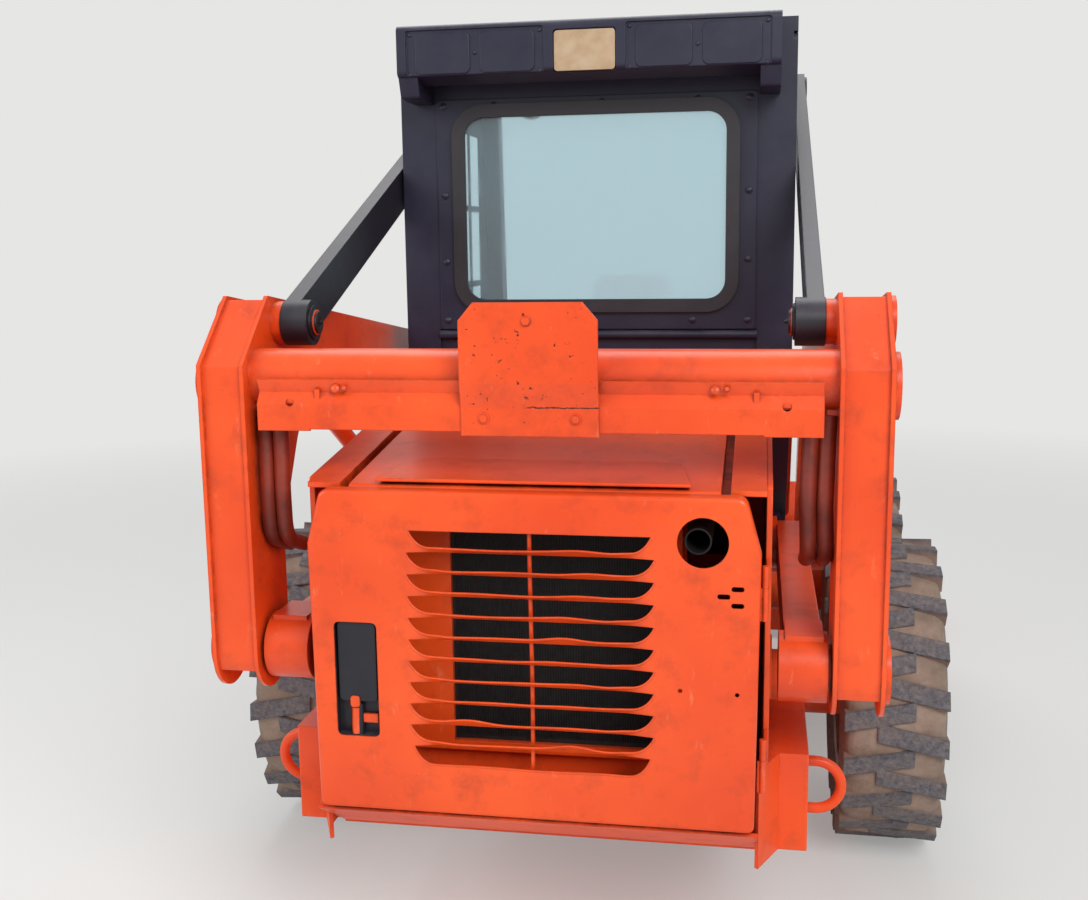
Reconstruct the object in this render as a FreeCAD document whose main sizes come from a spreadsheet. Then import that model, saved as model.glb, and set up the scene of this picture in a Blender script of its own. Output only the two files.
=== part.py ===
import FreeCAD, Part
import math
import os
import re
from types import SimpleNamespace
from FreeCAD import Placement, Rotation, Vector

# Skid steer loader with a vertical-lift arm linkage. Millimetres, +Z up, +Y ahead, +X to the machine's right.
# Every outline is drawn in distances ahead of the rear door's face, and each finished piece is then moved by
# door_y, so that the origin lies on the ground below the middle of the machine.

SIZES = (
    # whole machine
    ("louvre_out", 8),
    ("tyre_radius", 382),
    ("tyre_width", 246),
    ("tyre_half_track", 850),
    ("rear_axle", 1060),
    ("wheelbase", 930),
    ("fit", 0.3),
    ("bore_play", 0.05),
    # tyres and wheels
    ("tread_radius", 356),
    ("tread_half_width", 105),
    ("bulge_radius", 292),
    ("bead_radius", 208),
    ("lug_count", 21),
    ("lug_width", 44),
    ("lug_reach", 42),
    ("lug_slant", 11),
    ("rim_flange", 224),
    ("rim_half_width", 108),
    ("hub_inner", 86),
    ("hub_outer", 34),
    ("hub_radius", 92),
    ("disc_dish", 22),
    ("axle_tube_radius", 80),
    ("axle_flange_radius", 118),
    # chassis tub
    ("tub_half_width", 430),
    ("tub_plate", 10),
    ("tub_rear", 78),
    ("tub_front", 2330),
    ("belly_height", 190),
    ("tub_top", 690),
    ("bulkhead", 935),
    ("footwell_half_width", 300),
    ("haunch_front", 1300),
    ("haunch_low", 780),
    ("engine_top", 820),
    ("chain_case_height", 520),
    ("floor_height", 420),
    # tail
    ("block_rear", 149),
    ("block_inner", 452),
    ("block_outer", 506),
    ("block_front", 430),
    ("block_bottom", 371),
    ("belly_start", 560),
    ("block_top", 565),
    ("bevel_start", 64),
    ("band_rise", 94),
    ("ring_bar", 10.25),
    ("ring_radius", 48.75),
    ("ring_middle", 466),
    ("ring_ahead", 240),
    # rear door
    ("door_half_width", 412),
    ("door_top_half_width", 385),
    ("door_top", 1084),
    ("door_kink", 983),
    ("door_bottom", 470),
    ("door_depth", 34),
    ("door_skin", 5),
    ("door_corner", 10),
    ("hinge_across", 419),
    ("hinge_ahead", 28),
    ("hinge_low", 540),
    ("hinge_high", 860),
    ("knuckle_radius", 6),
    ("hinge_pin_radius", 3),
    ("knuckle_length", 60),
    ("louvre_half_width", 225),
    ("louvre_top", 1012),
    ("louvre_count", 11),
    ("louvre_pitch", 41),
    ("louvre_gap", 31),
    ("louvre_taper", 27),
    ("slat_depth", 24),
    ("slat_plate", 4),
    ("slat_droop", 14),
    ("pipe_across", 302),
    ("pipe_height", 1002),
    ("pipe_hole", 45),
    ("pipe_radius", 24),
    ("latch_slot_inner", 284),
    ("latch_slot_outer", 366),
    ("latch_slot_bottom", 615),
    ("latch_slot_top", 836),
    ("slot_corner", 12),
    # hood and engine bay
    ("hood_half_width", 340),
    ("hood_rear", 38),
    ("hood_front", 925),
    ("hood_rear_height", 1087),
    ("hood_slope", 0.13),
    ("hood_plate", 8),
    ("ramp_half_width", 288),
    ("ramp_front_half_width", 262),
    ("ramp_front", 205),
    ("ramp_corner", 60),
    ("ramp_lift", 13),
    ("ramp_gap", 7),
    ("rail_inner", 357),
    ("rail_plate", 8),
    ("engine_half_width", 230),
    ("engine_rear", 590),
    ("engine_length", 310),
    ("radiator_rear", 150),
    ("radiator_thick", 60),
    ("radiator_left", 176),
    ("radiator_right", 228),
    ("radiator_low", 560),
    ("radiator_tall", 460),
    ("shroud_half_width", 268),
    ("shroud_margin", 20),
    ("silencer_ahead", 660),
    ("silencer_radius", 60),
    # cab
    ("cab_half_width", 480),
    ("cab_plate", 10),
    ("cab_rear", 947),
    ("cab_front", 1950),
    ("cab_sill", 1130),
    ("cab_roof", 2034),
    ("roof_depth", 34),
    ("post_width", 85),
    ("post_depth", 60),
    ("panel_wide", 390),
    ("panel_low", 1310),
    ("panel_high", 1870),
    ("panel_plate", 6),
    ("window_half_width", 334),
    ("window_low", 1368),
    ("window_high", 1841),
    ("window_corner", 62),
    ("glass_plate", 6),
    ("rubber_lap", 16),
    ("bar_rear", 785),
    ("bar_half_width", 441),
    ("bar_low", 1896),
    ("bar_high", 2023),
    ("ear_low", 1860),
    # lift arms
    ("arm_inner", 540),
    ("arm_outer", 632),
    ("arm_plate", 8),
    ("plate_proud", 8),
    ("tower_rear", 51),
    ("tower_bend", 1304),
    ("tower_lobe", 85),
    ("top_pin_ahead", 235),
    ("top_pin_height", 1372),
    ("low_pin_ahead", 130),
    ("low_pin_height", 745),
    ("cab_pin_ahead", 1700),
    ("cab_pin_height", 1950),
    ("tub_pin_ahead", 1200),
    ("tub_pin_height", 720),
    ("bucket_pin_ahead", 2560),
    ("bucket_pin_height", 215),
    ("arm_lobe", 48),
    ("pin_radius", 25),
    ("cross_tube_radius", 54),
    ("cross_tube_ahead", 130),
    ("cross_tube_height", 1276),
    ("foot_tube_radius", 44.5),
    ("foot_tube_ahead", 2440),
    ("foot_tube_height", 300),
    ("channel_half_length", 514),
    ("channel_rear", 48),
    ("channel_plate", 6),
    ("channel_low", 1187),
    ("cover_half_width", 125),
    ("cover_top", 1419),
    ("cover_rear", 34),
    ("cover_plate", 5),
    # links
    ("upper_boss_inner", 466),
    ("upper_boss_outer", 520),
    ("upper_boss_radius", 45),
    ("upper_bar_inner", 486),
    ("upper_bar_outer", 518),
    ("lower_boss_inner", 445),
    ("lower_boss_outer", 533),
    ("lower_boss_radius", 65),
    ("lower_bar_inner", 456),
    ("lower_bar_outer", 526),
    ("lower_bar_half", 50),
    # hoses at the towers
    ("hose_radius", 15),
    ("hose_bend", 60),
    # cylinders
    ("lift_across", 575),
    ("lift_base_ahead", 1500),
    ("lift_base_height", 600),
    ("lift_eye_ahead", 350),
    ("lift_eye_height", 1285),
    ("lift_barrel_radius", 21),
    ("lift_barrel_length", 1130),
    ("lift_rod_radius", 13),
    ("lift_rod_inside", 650),
    ("lift_eye_radius", 28),
    ("lift_eye_half", 16),
    ("tilt_across", 490),
    ("tilt_base_ahead", 2110),
    ("tilt_base_height", 1040),
    ("tilt_eye_ahead", 2592),
    ("tilt_eye_height", 397),
    ("tilt_barrel_radius", 30),
    ("tilt_barrel_length", 640),
    ("tilt_rod_radius", 16),
    ("tilt_rod_inside", 430),
    ("tilt_eye_radius", 26),
    ("tilt_eye_half", 20),
    # hitch and bucket
    ("hitch_stand", 68),
    ("hitch_lean", 12),
    ("hitch_half_width", 660),
    ("hitch_plate", 20),
    ("hitch_low", 34),
    ("hitch_high", 440),
    ("ear_inner", 500),
    ("ear_plate", 30),
    ("bucket_half_width", 860),
    ("bucket_plate", 6),
    ("bucket_side", 8),
    ("bucket_height", 585),
    ("ground_gap", 8),
    ("edge_thick", 16),
    ("edge_deep", 160),
    ("bucket_floor", 767.7),
    # inside the cab
    ("seat_half_width", 230),
    ("seat_rear", 1070),
    ("seat_front", 1540),
    ("seat_base_rise", 69.4),
    ("seat_back_top", 1330),
    ("cushion_thick", 90),
    ("lap_bar_ahead", 1190),
    ("lap_bar_height", 1290),
    ("lap_bar_radius", 16),
    ("lever_across", 250),
    ("lever_ahead", 1720),
    ("lever_top", 1080),
)

os.makedirs("parts", exist_ok=True)
doc = FreeCAD.newDocument("SkidSteerLoader")
sheet = doc.addObject("Spreadsheet::Sheet", "Sizes")
for row, (alias, number) in enumerate(SIZES, start=1):
    sheet.set(f"A{row}", alias)
    sheet.set(f"B{row}", str(number))
    sheet.setAlias(f"B{row}", alias)
doc.recompute()
s = SimpleNamespace(**{alias: float(sheet.get(alias)) for alias, number in SIZES})
NAMES = {alias for alias, number in SIZES}
BUCKET_HEEL = ("bucket_pin_ahead + hitch_stand + hitch_plate + fit"
               " + (ground_gap - bucket_pin_height) * tan(hitch_lean)")
DOOR_Y = f"(louvre_out - bucket_floor - ({BUCKET_HEEL})) / 2"
NODES = []
SHORT = {"x": "Placement.Base.x", "y": "Placement.Base.y", "z": "Placement.Base.z"}
AXIS = {
    "x": Rotation(Vector(0, 1, 0), 90),
    "y": Rotation(Vector(1, 0, 0), -90),
    "z": Rotation(),
}


# Helpers that draw, place and join


def formula(text):
    """The same sum with each named size read from the sheet."""
    return re.sub(r"[a-z][a-z_0-9]*", lambda word: f"Sizes.{word[0]}" if word[0] in NAMES else word[0], text)


def bind(thing, **formulas):
    """Ties properties of a thing to sums of named sizes."""
    for name, text in formulas.items():
        thing.setExpression(SHORT.get(name, name), formula(text))
    return thing


def block(name, x, y, z, length, width, height):
    """A box from its low corner, each value a sum of named sizes."""
    made = doc.addObject("Part::Box", name)
    return bind(made, x=x, y=y, z=z, Length=length, Width=width, Height=height)


def rod(name, axis, x, y, z, radius, length):
    """A round bar that starts at a point and runs along one axis."""
    made = doc.addObject("Part::Cylinder", name)
    made.Placement = Placement(Vector(), AXIS[axis])
    return bind(made, x=x, y=y, z=z, Radius=radius, Height=length)


def fuse(name, *things):
    """Several solids joined into one."""
    made = doc.addObject("Part::MultiFuse", name)
    made.Shapes = list(things)
    made.Refine = True
    return made


def cut(name, base, *tools):
    """A solid with the tools taken away."""
    made = doc.addObject("Part::Cut", name)
    made.Base = base
    made.Tool = tools[0] if len(tools) == 1 else group(name + "Tools", *tools)
    made.Refine = True
    return made


def shared(name, *things):
    """What two solids have in common."""
    made = doc.addObject("Part::MultiCommon", name)
    made.Shapes = list(things)
    made.Refine = True
    return made


def group(name, *things):
    """Solids kept side by side in one piece of the list."""
    made = doc.addObject("Part::Compound", name)
    made.Links = list(things)
    return made


def mirror(thing):
    """The same solid on the machine's left side."""
    made = doc.addObject("Part::Mirroring", thing.Name + "Left")
    made.Source = thing
    made.Normal = Vector(1, 0, 0)
    return made


def both(name, thing):
    """A right-hand solid and its left-hand twin."""
    return group(name, thing, mirror(thing))


def node(label, thing):
    """Names a finished piece and moves it from the door's face to the machine's origin."""
    thing.Label = label
    bind(thing, y=DOOR_Y)
    NODES.append(thing)
    return thing


def rounded(corners):
    """Lines and arcs of a closed outline, from corners given as (across, up, radius)."""
    points = [(Vector(c[0], c[1], 0), c[2] if len(c) > 2 else 0) for c in corners]
    spans = []
    for index, (here, radius) in enumerate(points):
        back = (points[index - 1][0] - here).normalize()
        ahead = (points[(index + 1) % len(points)][0] - here).normalize()
        if radius <= 0:
            spans.append((here, None, here))
            continue
        half = back.getAngle(ahead) / 2
        reach = radius / math.tan(half)
        middle = here + (back + ahead).normalize() * (radius / math.sin(half) - radius)
        spans.append((here + back * reach, middle, here + ahead * reach))
    edges = []
    for index, (start, middle, end) in enumerate(spans):
        if middle:
            edges.append(Part.Arc(start, middle, end))
        following = spans[(index + 1) % len(spans)][0]
        if end.distanceToPoint(following) > 1e-4:
            edges.append(Part.LineSegment(end, following))
    return edges


def circle(across, up, radius):
    """One round outline."""
    return [Part.Circle(Vector(across, up, 0), Vector(0, 0, 1), radius)]


def sketch(body, name, plane, outlines, start="0"):
    """A sketch on one of the body's own planes, moved along the plane's normal."""
    made = body.newObject("Sketcher::SketchObject", name)
    role = f"{plane}_Plane"
    made.AttachmentSupport = (next(f for f in body.Origin.OriginFeatures if f.Role == role), [""])
    made.MapMode = "FlatFace"
    for outline in outlines:
        for edge in outline:
            made.addGeometry(edge, False)
    made.setExpression("AttachmentOffset.Base.z", formula(start))
    return made


def plate(name, plane, outlines, start, end):
    """A flat piece cut to an outline, from start to end along the plane's axis."""
    body = doc.addObject("PartDesign::Body", name)
    origin = f"-({end})" if plane == "XZ" else start
    drawn = sketch(body, name + "Outline", plane, outlines, origin)
    pad = body.newObject("PartDesign::Pad", name + "Pad")
    pad.Profile = drawn
    pad.setExpression("Length", formula(f"({end}) - ({start})"))
    return body


def turned(name, profile):
    """A solid of revolution about the X axis, from corners given as (along, radius)."""
    body = doc.addObject("PartDesign::Body", name)
    drawn = sketch(body, name + "Outline", "XZ", [rounded(profile)])
    turn = body.newObject("PartDesign::Revolution", name + "Turn")
    turn.Profile = drawn
    turn.ReferenceAxis = (drawn, ["H_Axis"])
    turn.Angle = 360
    return body


def lobes(start, start_radius, end, end_radius):
    """Outline of a link: two round ends joined by tangent sides."""
    first, last = Vector(*start, 0), Vector(*end, 0)
    run = last - first
    lean = math.asin((start_radius - end_radius) / run.Length)
    along = math.atan2(run.y, run.x)
    up, down = along + math.pi / 2 - lean, along - math.pi / 2 + lean

    def rim(centre, radius, angle):
        return centre + Vector(math.cos(angle), math.sin(angle), 0) * radius

    return [
        Part.Arc(rim(first, start_radius, up), rim(first, start_radius, along + math.pi),
                 rim(first, start_radius, down)),
        Part.LineSegment(rim(first, start_radius, down), rim(last, end_radius, down)),
        Part.Arc(rim(last, end_radius, down), rim(last, end_radius, along), rim(last, end_radius, up)),
        Part.LineSegment(rim(last, end_radius, up), rim(first, start_radius, up)),
    ]


def leaning(thing, ahead, height, angle):
    """Turns a piece that was drawn along +Y at the origin, then sets it at its pin."""
    thing.Placement = Placement(Vector(), Rotation(Vector(1, 0, 0), angle))
    return bind(thing, y=ahead, z=height)


# Tyres and wheels

SECTION = (
    # ring of the tyre's section, distance from its middle plane, radius to the flats
    ("Bead", "rim_half_width - 11 - fit", "rim_flange + 4"),
    ("Bulge", "tyre_width / 2", "bulge_radius"),
    ("Shoulder", "tread_half_width", "tread_radius"),
)


def tyre():
    """Carcass of flats, two to each pitch of the lugs, with two staggered rows of slanted lugs."""
    half = s.tyre_width / 2
    bead = "rim_half_width - 11 - fit"
    flats = "2 * lug_count"
    rings = []
    for side, row in (("-", SECTION), ("", reversed(SECTION))):
        for name, across, radius in row:
            ring = doc.addObject("Part::RegularPolygon", f"{name}{'Left' if side else 'Right'}")
            ring.Placement = Placement(Vector(), AXIS["x"])
            bind(ring, Polygon=flats, Circumradius=f"({radius}) / cos(180 / ({flats}))", x=f"{side}({across})")
            rings.append(ring)
    carcass = doc.addObject("Part::Loft", "Carcass")
    carcass.Sections = rings
    carcass.Solid = True
    carcass.Ruled = True
    seat = doc.addObject("Part::Prism", "BeadSeat")
    seat.Placement = Placement(Vector(), AXIS["x"])
    bind(seat, Polygon=flats, Circumradius=f"(bead_radius + fit) / cos(180 / ({flats}))", Height=f"2 * ({bead}) + 2",
         x=f"-({bead}) - 1")
    body = doc.addObject("PartDesign::Body", "Tyre")
    body.BaseFeature = cut("BoredCarcass", carcass, seat)
    slant = math.tan(math.radians(s.lug_slant))
    shift = (half + s.lug_reach) * slant
    half_pitch = math.pi * s.tread_radius / s.lug_count
    low, high = -s.lug_width / 2 - shift / 2, s.lug_width / 2 + shift / 2
    crest = math.sqrt(s.tyre_radius ** 2 - (high + half_pitch / 2) ** 2)
    outlines = []
    for side, offset in ((1, -half_pitch / 2), (-1, half_pitch / 2)):
        outlines.append(rounded([
            (side * (half - 6), low + offset), (side * (half - 6), low + s.lug_width + offset),
            (-side * s.lug_reach, high + offset), (-side * s.lug_reach, high - s.lug_width + offset),
        ]))
    drawn = sketch(body, "LugOutline", "XY", outlines, "tread_radius - 24")
    lug = body.newObject("PartDesign::Pad", "LugPad")
    lug.Profile = drawn
    lug.Length = crest - s.tread_radius + 24
    ring = body.newObject("PartDesign::PolarPattern", "LugRing")
    ring.Originals = [lug]
    ring.Axis = (next(f for f in body.Origin.OriginFeatures if f.Role == "X_Axis"), [""])
    ring.Angle = 360
    ring.Occurrences = int(s.lug_count)
    body.Tip = ring
    return body


def rim():
    """Drop-in wheel: barrel, dished disc and hub in one turned piece."""
    wide, edge, seat = s.rim_half_width, s.rim_flange, s.bead_radius
    return turned("Rim", [
        (-wide, edge), (-wide + 7, edge), (-wide + 11, seat), (wide - 11, seat), (wide - 7, edge), (wide, edge),
        (wide - 4, seat - 8), (s.disc_dish + 12, seat - 14), (s.disc_dish, 150), (s.disc_dish + 10, s.hub_radius + 8),
        (s.hub_outer, s.hub_radius), (s.hub_outer, 0), (-s.hub_inner, 0), (-s.hub_inner, s.hub_radius),
        (s.disc_dish - 14, s.hub_radius), (s.disc_dish - 12, 150), (s.disc_dish - 2, seat - 14), (-wide + 4, seat - 8),
    ])


WHEELS = (
    # name, is on the left, place of its axle
    ("rear_right", False, "rear_axle"),
    ("front_right", False, "rear_axle + wheelbase"),
    ("rear_left", True, "rear_axle"),
    ("front_left", True, "rear_axle + wheelbase"),
)


def wheels():
    """Four tyres and rims, the left ones mirrored, on the axles."""
    right = {"tyre": tyre(), "rim": rim()}
    left = {kind: mirror(thing) for kind, thing in right.items()}
    for place, on_left, axle in WHEELS:
        for kind in right:
            made = group(f"{kind}_{place}", (left if on_left else right)[kind])
            node(f"{kind}_{place}", made)
            across = "tyre_half_track - tyre_width / 2"
            bind(made, x=f"-({across})" if on_left else across, y=f"{DOOR_Y} + {axle}", z="tyre_radius")


# Chassis


def hood_line(ahead):
    """Height of the hood's surface above a place ahead of the door."""
    return s.hood_rear_height + s.hood_slope * (ahead - s.hood_rear)


def chassis_tub():
    """Two side plates, belly, bulkhead, front sill and the chain cases beside the footwell."""
    side = plate("TubSide", "YZ", [rounded([
        (s.tub_rear, s.block_top + 6), (s.tub_rear, hood_line(s.tub_rear) - 1, 8),
        (s.cab_rear - s.fit, hood_line(s.cab_rear) - 1, 30), (s.cab_rear - s.fit, s.tub_top + 270),
        (s.haunch_front - 180, s.tub_top + 270, 60), (s.haunch_front - 4, s.haunch_low, 60),
        (s.haunch_front - 4, s.tub_top), (s.tub_front - 90, s.tub_top, 60), (s.tub_front, s.chain_case_height, 30),
        (s.tub_front, s.belly_height + 80, 40), (s.tub_front - 90, s.belly_height),
        (s.belly_start, s.belly_height, 60), (s.block_rear + 6, s.block_bottom), (s.block_rear + 6, s.block_top + 6),
    ])], "tub_half_width - tub_plate", "tub_half_width")
    belly = block("Belly", "tub_plate - tub_half_width", "belly_start + 20", "belly_height",
                  "2 * (tub_half_width - tub_plate)", "tub_front - 90 - belly_start - 20", "tub_plate")
    wall = block("Bulkhead", "tub_plate - tub_half_width", "bulkhead", "belly_height + tub_plate",
                 "2 * (tub_half_width - tub_plate)", "tub_plate", "tub_top + 270 - belly_height")
    sill = block("FrontSill", "tub_plate - tub_half_width", "tub_front - 90 - tub_plate", "belly_height",
                 "2 * (tub_half_width - tub_plate)", "tub_plate", "floor_height - belly_height")
    case = block("ChainCase", "footwell_half_width", "bulkhead + tub_plate", "belly_height + tub_plate",
                 "tub_half_width - tub_plate - footwell_half_width", "tub_front - 90 - bulkhead - 2 * tub_plate",
                 "chain_case_height - belly_height - tub_plate")
    drop = (s.block_bottom - s.belly_height) / (s.belly_start - s.block_rear - 6)
    start, end = s.block_rear + 21, s.belly_start + 22
    edge = s.block_bottom - drop * (start - s.block_rear - 6) + 4
    floor = plate("TailFloor", "YZ", [rounded([
        (start, edge), (start, edge - s.tub_plate - 2),
        (start + (edge - s.tub_plate - 2 - s.belly_height) / drop, s.belly_height), (end, s.belly_height),
        (end, s.belly_height + s.tub_plate),
        (start + (edge - s.tub_plate - s.belly_height) / drop, s.belly_height + s.tub_plate),
    ])], "tub_plate - tub_half_width", "tub_half_width - tub_plate")
    node("chassis_tub", fuse("ChassisTub", side, mirror(side), belly, wall, sill, floor, case, mirror(case)))


def axle_housings():
    """Four bolted final-drive tubes that end at the hubs."""
    pieces = []
    for name, axle in (("Rear", "rear_axle"), ("Front", "rear_axle + wheelbase")):
        end = "tyre_half_track - tyre_width / 2 - hub_inner - fit"
        tube = rod(name + "AxleTube", "x", "tub_half_width", axle, "tyre_radius", "axle_tube_radius",
                   f"{end} - tub_half_width")
        flange = rod(name + "AxleFlange", "x", "tub_half_width", axle, "tyre_radius", "axle_flange_radius", "16")
        housing = fuse(name + "AxleHousing", tube, flange)
        pieces += [housing, mirror(housing)]
    node("axle_housings", group("AxleHousings", *pieces))


def tail_bumper():
    """Side blocks with bevelled inner faces, and the sloping band below the door."""
    corner = s.door_half_width + 2
    side = plate("TailBlock", "XY", [rounded([
        (corner, s.bevel_start), (s.block_inner, s.block_rear), (s.block_outer, s.block_rear, 4),
        (s.block_outer, s.block_front, 6), (s.tub_half_width + s.fit, s.block_front),
        (s.tub_half_width + s.fit, s.block_rear - 26), (corner - 6, s.bevel_start + 6),
    ])], "block_bottom", "block_top")
    low = s.door_bottom - 7
    band = plate("TailBand", "YZ", [rounded([
        (6, low), (14, low + 4), (s.block_rear + 8, low + 8 - s.band_rise), (290, s.block_bottom + 7),
        (290, s.block_bottom), (s.block_rear, s.block_bottom),
    ])], "-(door_half_width + 1.5)", "door_half_width + 1.5")
    node("tail_bumper", fuse("TailBumper", band, side, mirror(side)))


def tow_rings():
    """A bent round bar on the outer face of each tail block."""
    bend = doc.addObject("Part::Torus", "RingBend")
    bend.Placement = Placement(Vector(), Rotation(Vector(1, 0, 0), 90))
    bend.Angle1 = -180
    bend.Angle2 = 180
    bend.Angle3 = 180
    bind(bend, Radius1="ring_radius", Radius2="ring_bar")
    bend.Placement = Placement(Vector(), Rotation(Vector(0, 1, 0), 90) * Rotation(Vector(1, 0, 0), 90))
    leg = "ring_bar + 8"
    bind(bend, x=f"block_outer + {leg}", y="ring_ahead", z="ring_middle")
    legs = [
        rod("Ring" + name, "x", "block_outer + fit", "ring_ahead", f"ring_middle {sign} ring_radius", "ring_bar",
            f"{leg} - fit")
        for name, sign in (("TopLeg", "+"), ("LowLeg", "-"))
    ]
    node("tow_rings", both("TowRings", fuse("TowRing", bend, *legs)))


def engine_bay():
    """Engine block, radiator with its shroud, and the silencer with its tail pipe."""
    engine = block("EngineBlock", "-engine_half_width", "engine_rear", "belly_height + tub_plate + fit",
                   "2 * engine_half_width", "engine_length", "engine_top - belly_height - tub_plate - fit")
    node("engine_block", group("Engine", engine))
    core = block("RadiatorCore", "-radiator_left", "radiator_rear", "radiator_low", "radiator_left + radiator_right",
                 "radiator_thick", "radiator_tall")
    shroud = cut("RadiatorShroud",
                 block("ShroudOuter", "-shroud_half_width", "radiator_rear - 12", "radiator_low - shroud_margin",
                       "2 * shroud_half_width", "radiator_thick + 90", "radiator_tall + 2 * shroud_margin"),
                 block("ShroudInner", "-radiator_left", "radiator_rear - 20", "radiator_low",
                       "radiator_left + radiator_right", "radiator_thick + 20", "radiator_tall"),
                 block("ShroudFan", "-radiator_left - 24", "radiator_rear + radiator_thick + 1",
                       "radiator_low + 30", "radiator_left + radiator_right - 4", "90", "radiator_tall - 60"))
    base = block("RadiatorBase", "-shroud_half_width", "radiator_rear + 12", "block_bottom + 7 + fit",
                 "2 * shroud_half_width", "110", "radiator_low - shroud_margin - block_bottom - 7 - fit")
    node("radiator_shroud", fuse("Radiator", shroud, base))
    node("radiator_core", group("Core", core))
    silencer = rod("Silencer", "x", "-200", "silencer_ahead", "engine_top + silencer_radius + fit", "silencer_radius",
                   "pipe_across + 240")
    tail = rod("TailPipe", "y", "pipe_across", "20", "pipe_height", "pipe_radius", "silencer_ahead - 20 + pipe_radius")
    rise = rod("PipeRise", "z", "pipe_across", "silencer_ahead", "engine_top + silencer_radius", "pipe_radius - 4",
               "pipe_height - engine_top - silencer_radius")
    bore = rod("TailPipeBore", "y", "pipe_across", "10", "pipe_height", "pipe_radius - 3", "400")
    node("exhaust_pipe", cut("Exhaust", fuse("ExhaustSolid", silencer, tail, rise), bore))


def hood():
    """Sloping sheet with a ramp lifted off the door's top, and the rail on each side of it."""
    rear, front, skin = s.hood_rear, s.hood_front, s.hood_plate
    sheet_body = plate("HoodSheet", "YZ", [rounded([
        (rear, hood_line(rear) - 34), (rear, hood_line(rear), 10), (front, hood_line(front), 6),
        (front, hood_line(front) - skin), (rear + skin, hood_line(rear + skin) - skin, 4),
        (rear + skin, hood_line(rear) - 34),
    ])], "-hood_half_width", "hood_half_width")
    flange = plate("HoodFlange", "YZ", [rounded([
        (rear, hood_line(rear) - 34), (rear, hood_line(rear), 10), (front, hood_line(front), 6),
        (front, hood_line(front) - 34),
    ])], "hood_half_width - hood_plate", "hood_half_width")
    ramp_end = s.ramp_front
    lifted = plate("RampSide", "YZ", [rounded([
        (rear, hood_line(rear) + s.ramp_gap), (rear, hood_line(rear) + s.ramp_lift, 4),
        (ramp_end, hood_line(ramp_end) + 1), (ramp_end, hood_line(ramp_end) - 4),
        (rear + 50, hood_line(rear + 50) - 4),
    ])], "-ramp_half_width", "ramp_half_width")
    bounds = plate("RampTop", "XY", [rounded([
        (-s.ramp_half_width, rear - 1), (s.ramp_half_width, rear - 1),
        (s.ramp_front_half_width, ramp_end - 1, s.ramp_corner), (-s.ramp_front_half_width, ramp_end - 1, s.ramp_corner),
    ])], "hood_rear_height - 30", "hood_rear_height + 60")
    ramp = shared("HoodRamp", lifted, bounds)
    node("hood", fuse("Hood", sheet_body, flange, mirror(flange), ramp))
    rail = plate("HoodRail", "YZ", [rounded([
        (rear + 4, hood_line(rear) - 40), (rear + 4, hood_line(rear) + 2, 10),
        (front + 8, hood_line(front + 8) + 2), (front + 8, hood_line(front + 8) - 40),
    ])], "rail_inner", "rail_inner + rail_plate")
    shelf = plate("HoodShelf", "YZ", [rounded([
        (rear + 4, hood_line(rear + 4) - s.rail_plate), (rear + 4, hood_line(rear + 4) + 2),
        (front + 8, hood_line(front + 8) + 2), (front + 8, hood_line(front + 8) - s.rail_plate),
    ])], "rail_inner", "tub_half_width - tub_plate - fit")
    ledge = plate("HoodLedge", "YZ", [rounded([
        (rear + 10, hood_line(rear + 10) - 40), (rear + 10, hood_line(rear + 10) - 34 - s.fit),
        (front + 8, hood_line(front + 8) - 34 - s.fit), (front + 8, hood_line(front + 8) - 40),
    ])], "hood_half_width - hood_plate", "rail_inner")
    node("hood_rails", both("HoodRails", fuse("HoodRailRight", rail, shelf, ledge)))


# Cab


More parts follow.
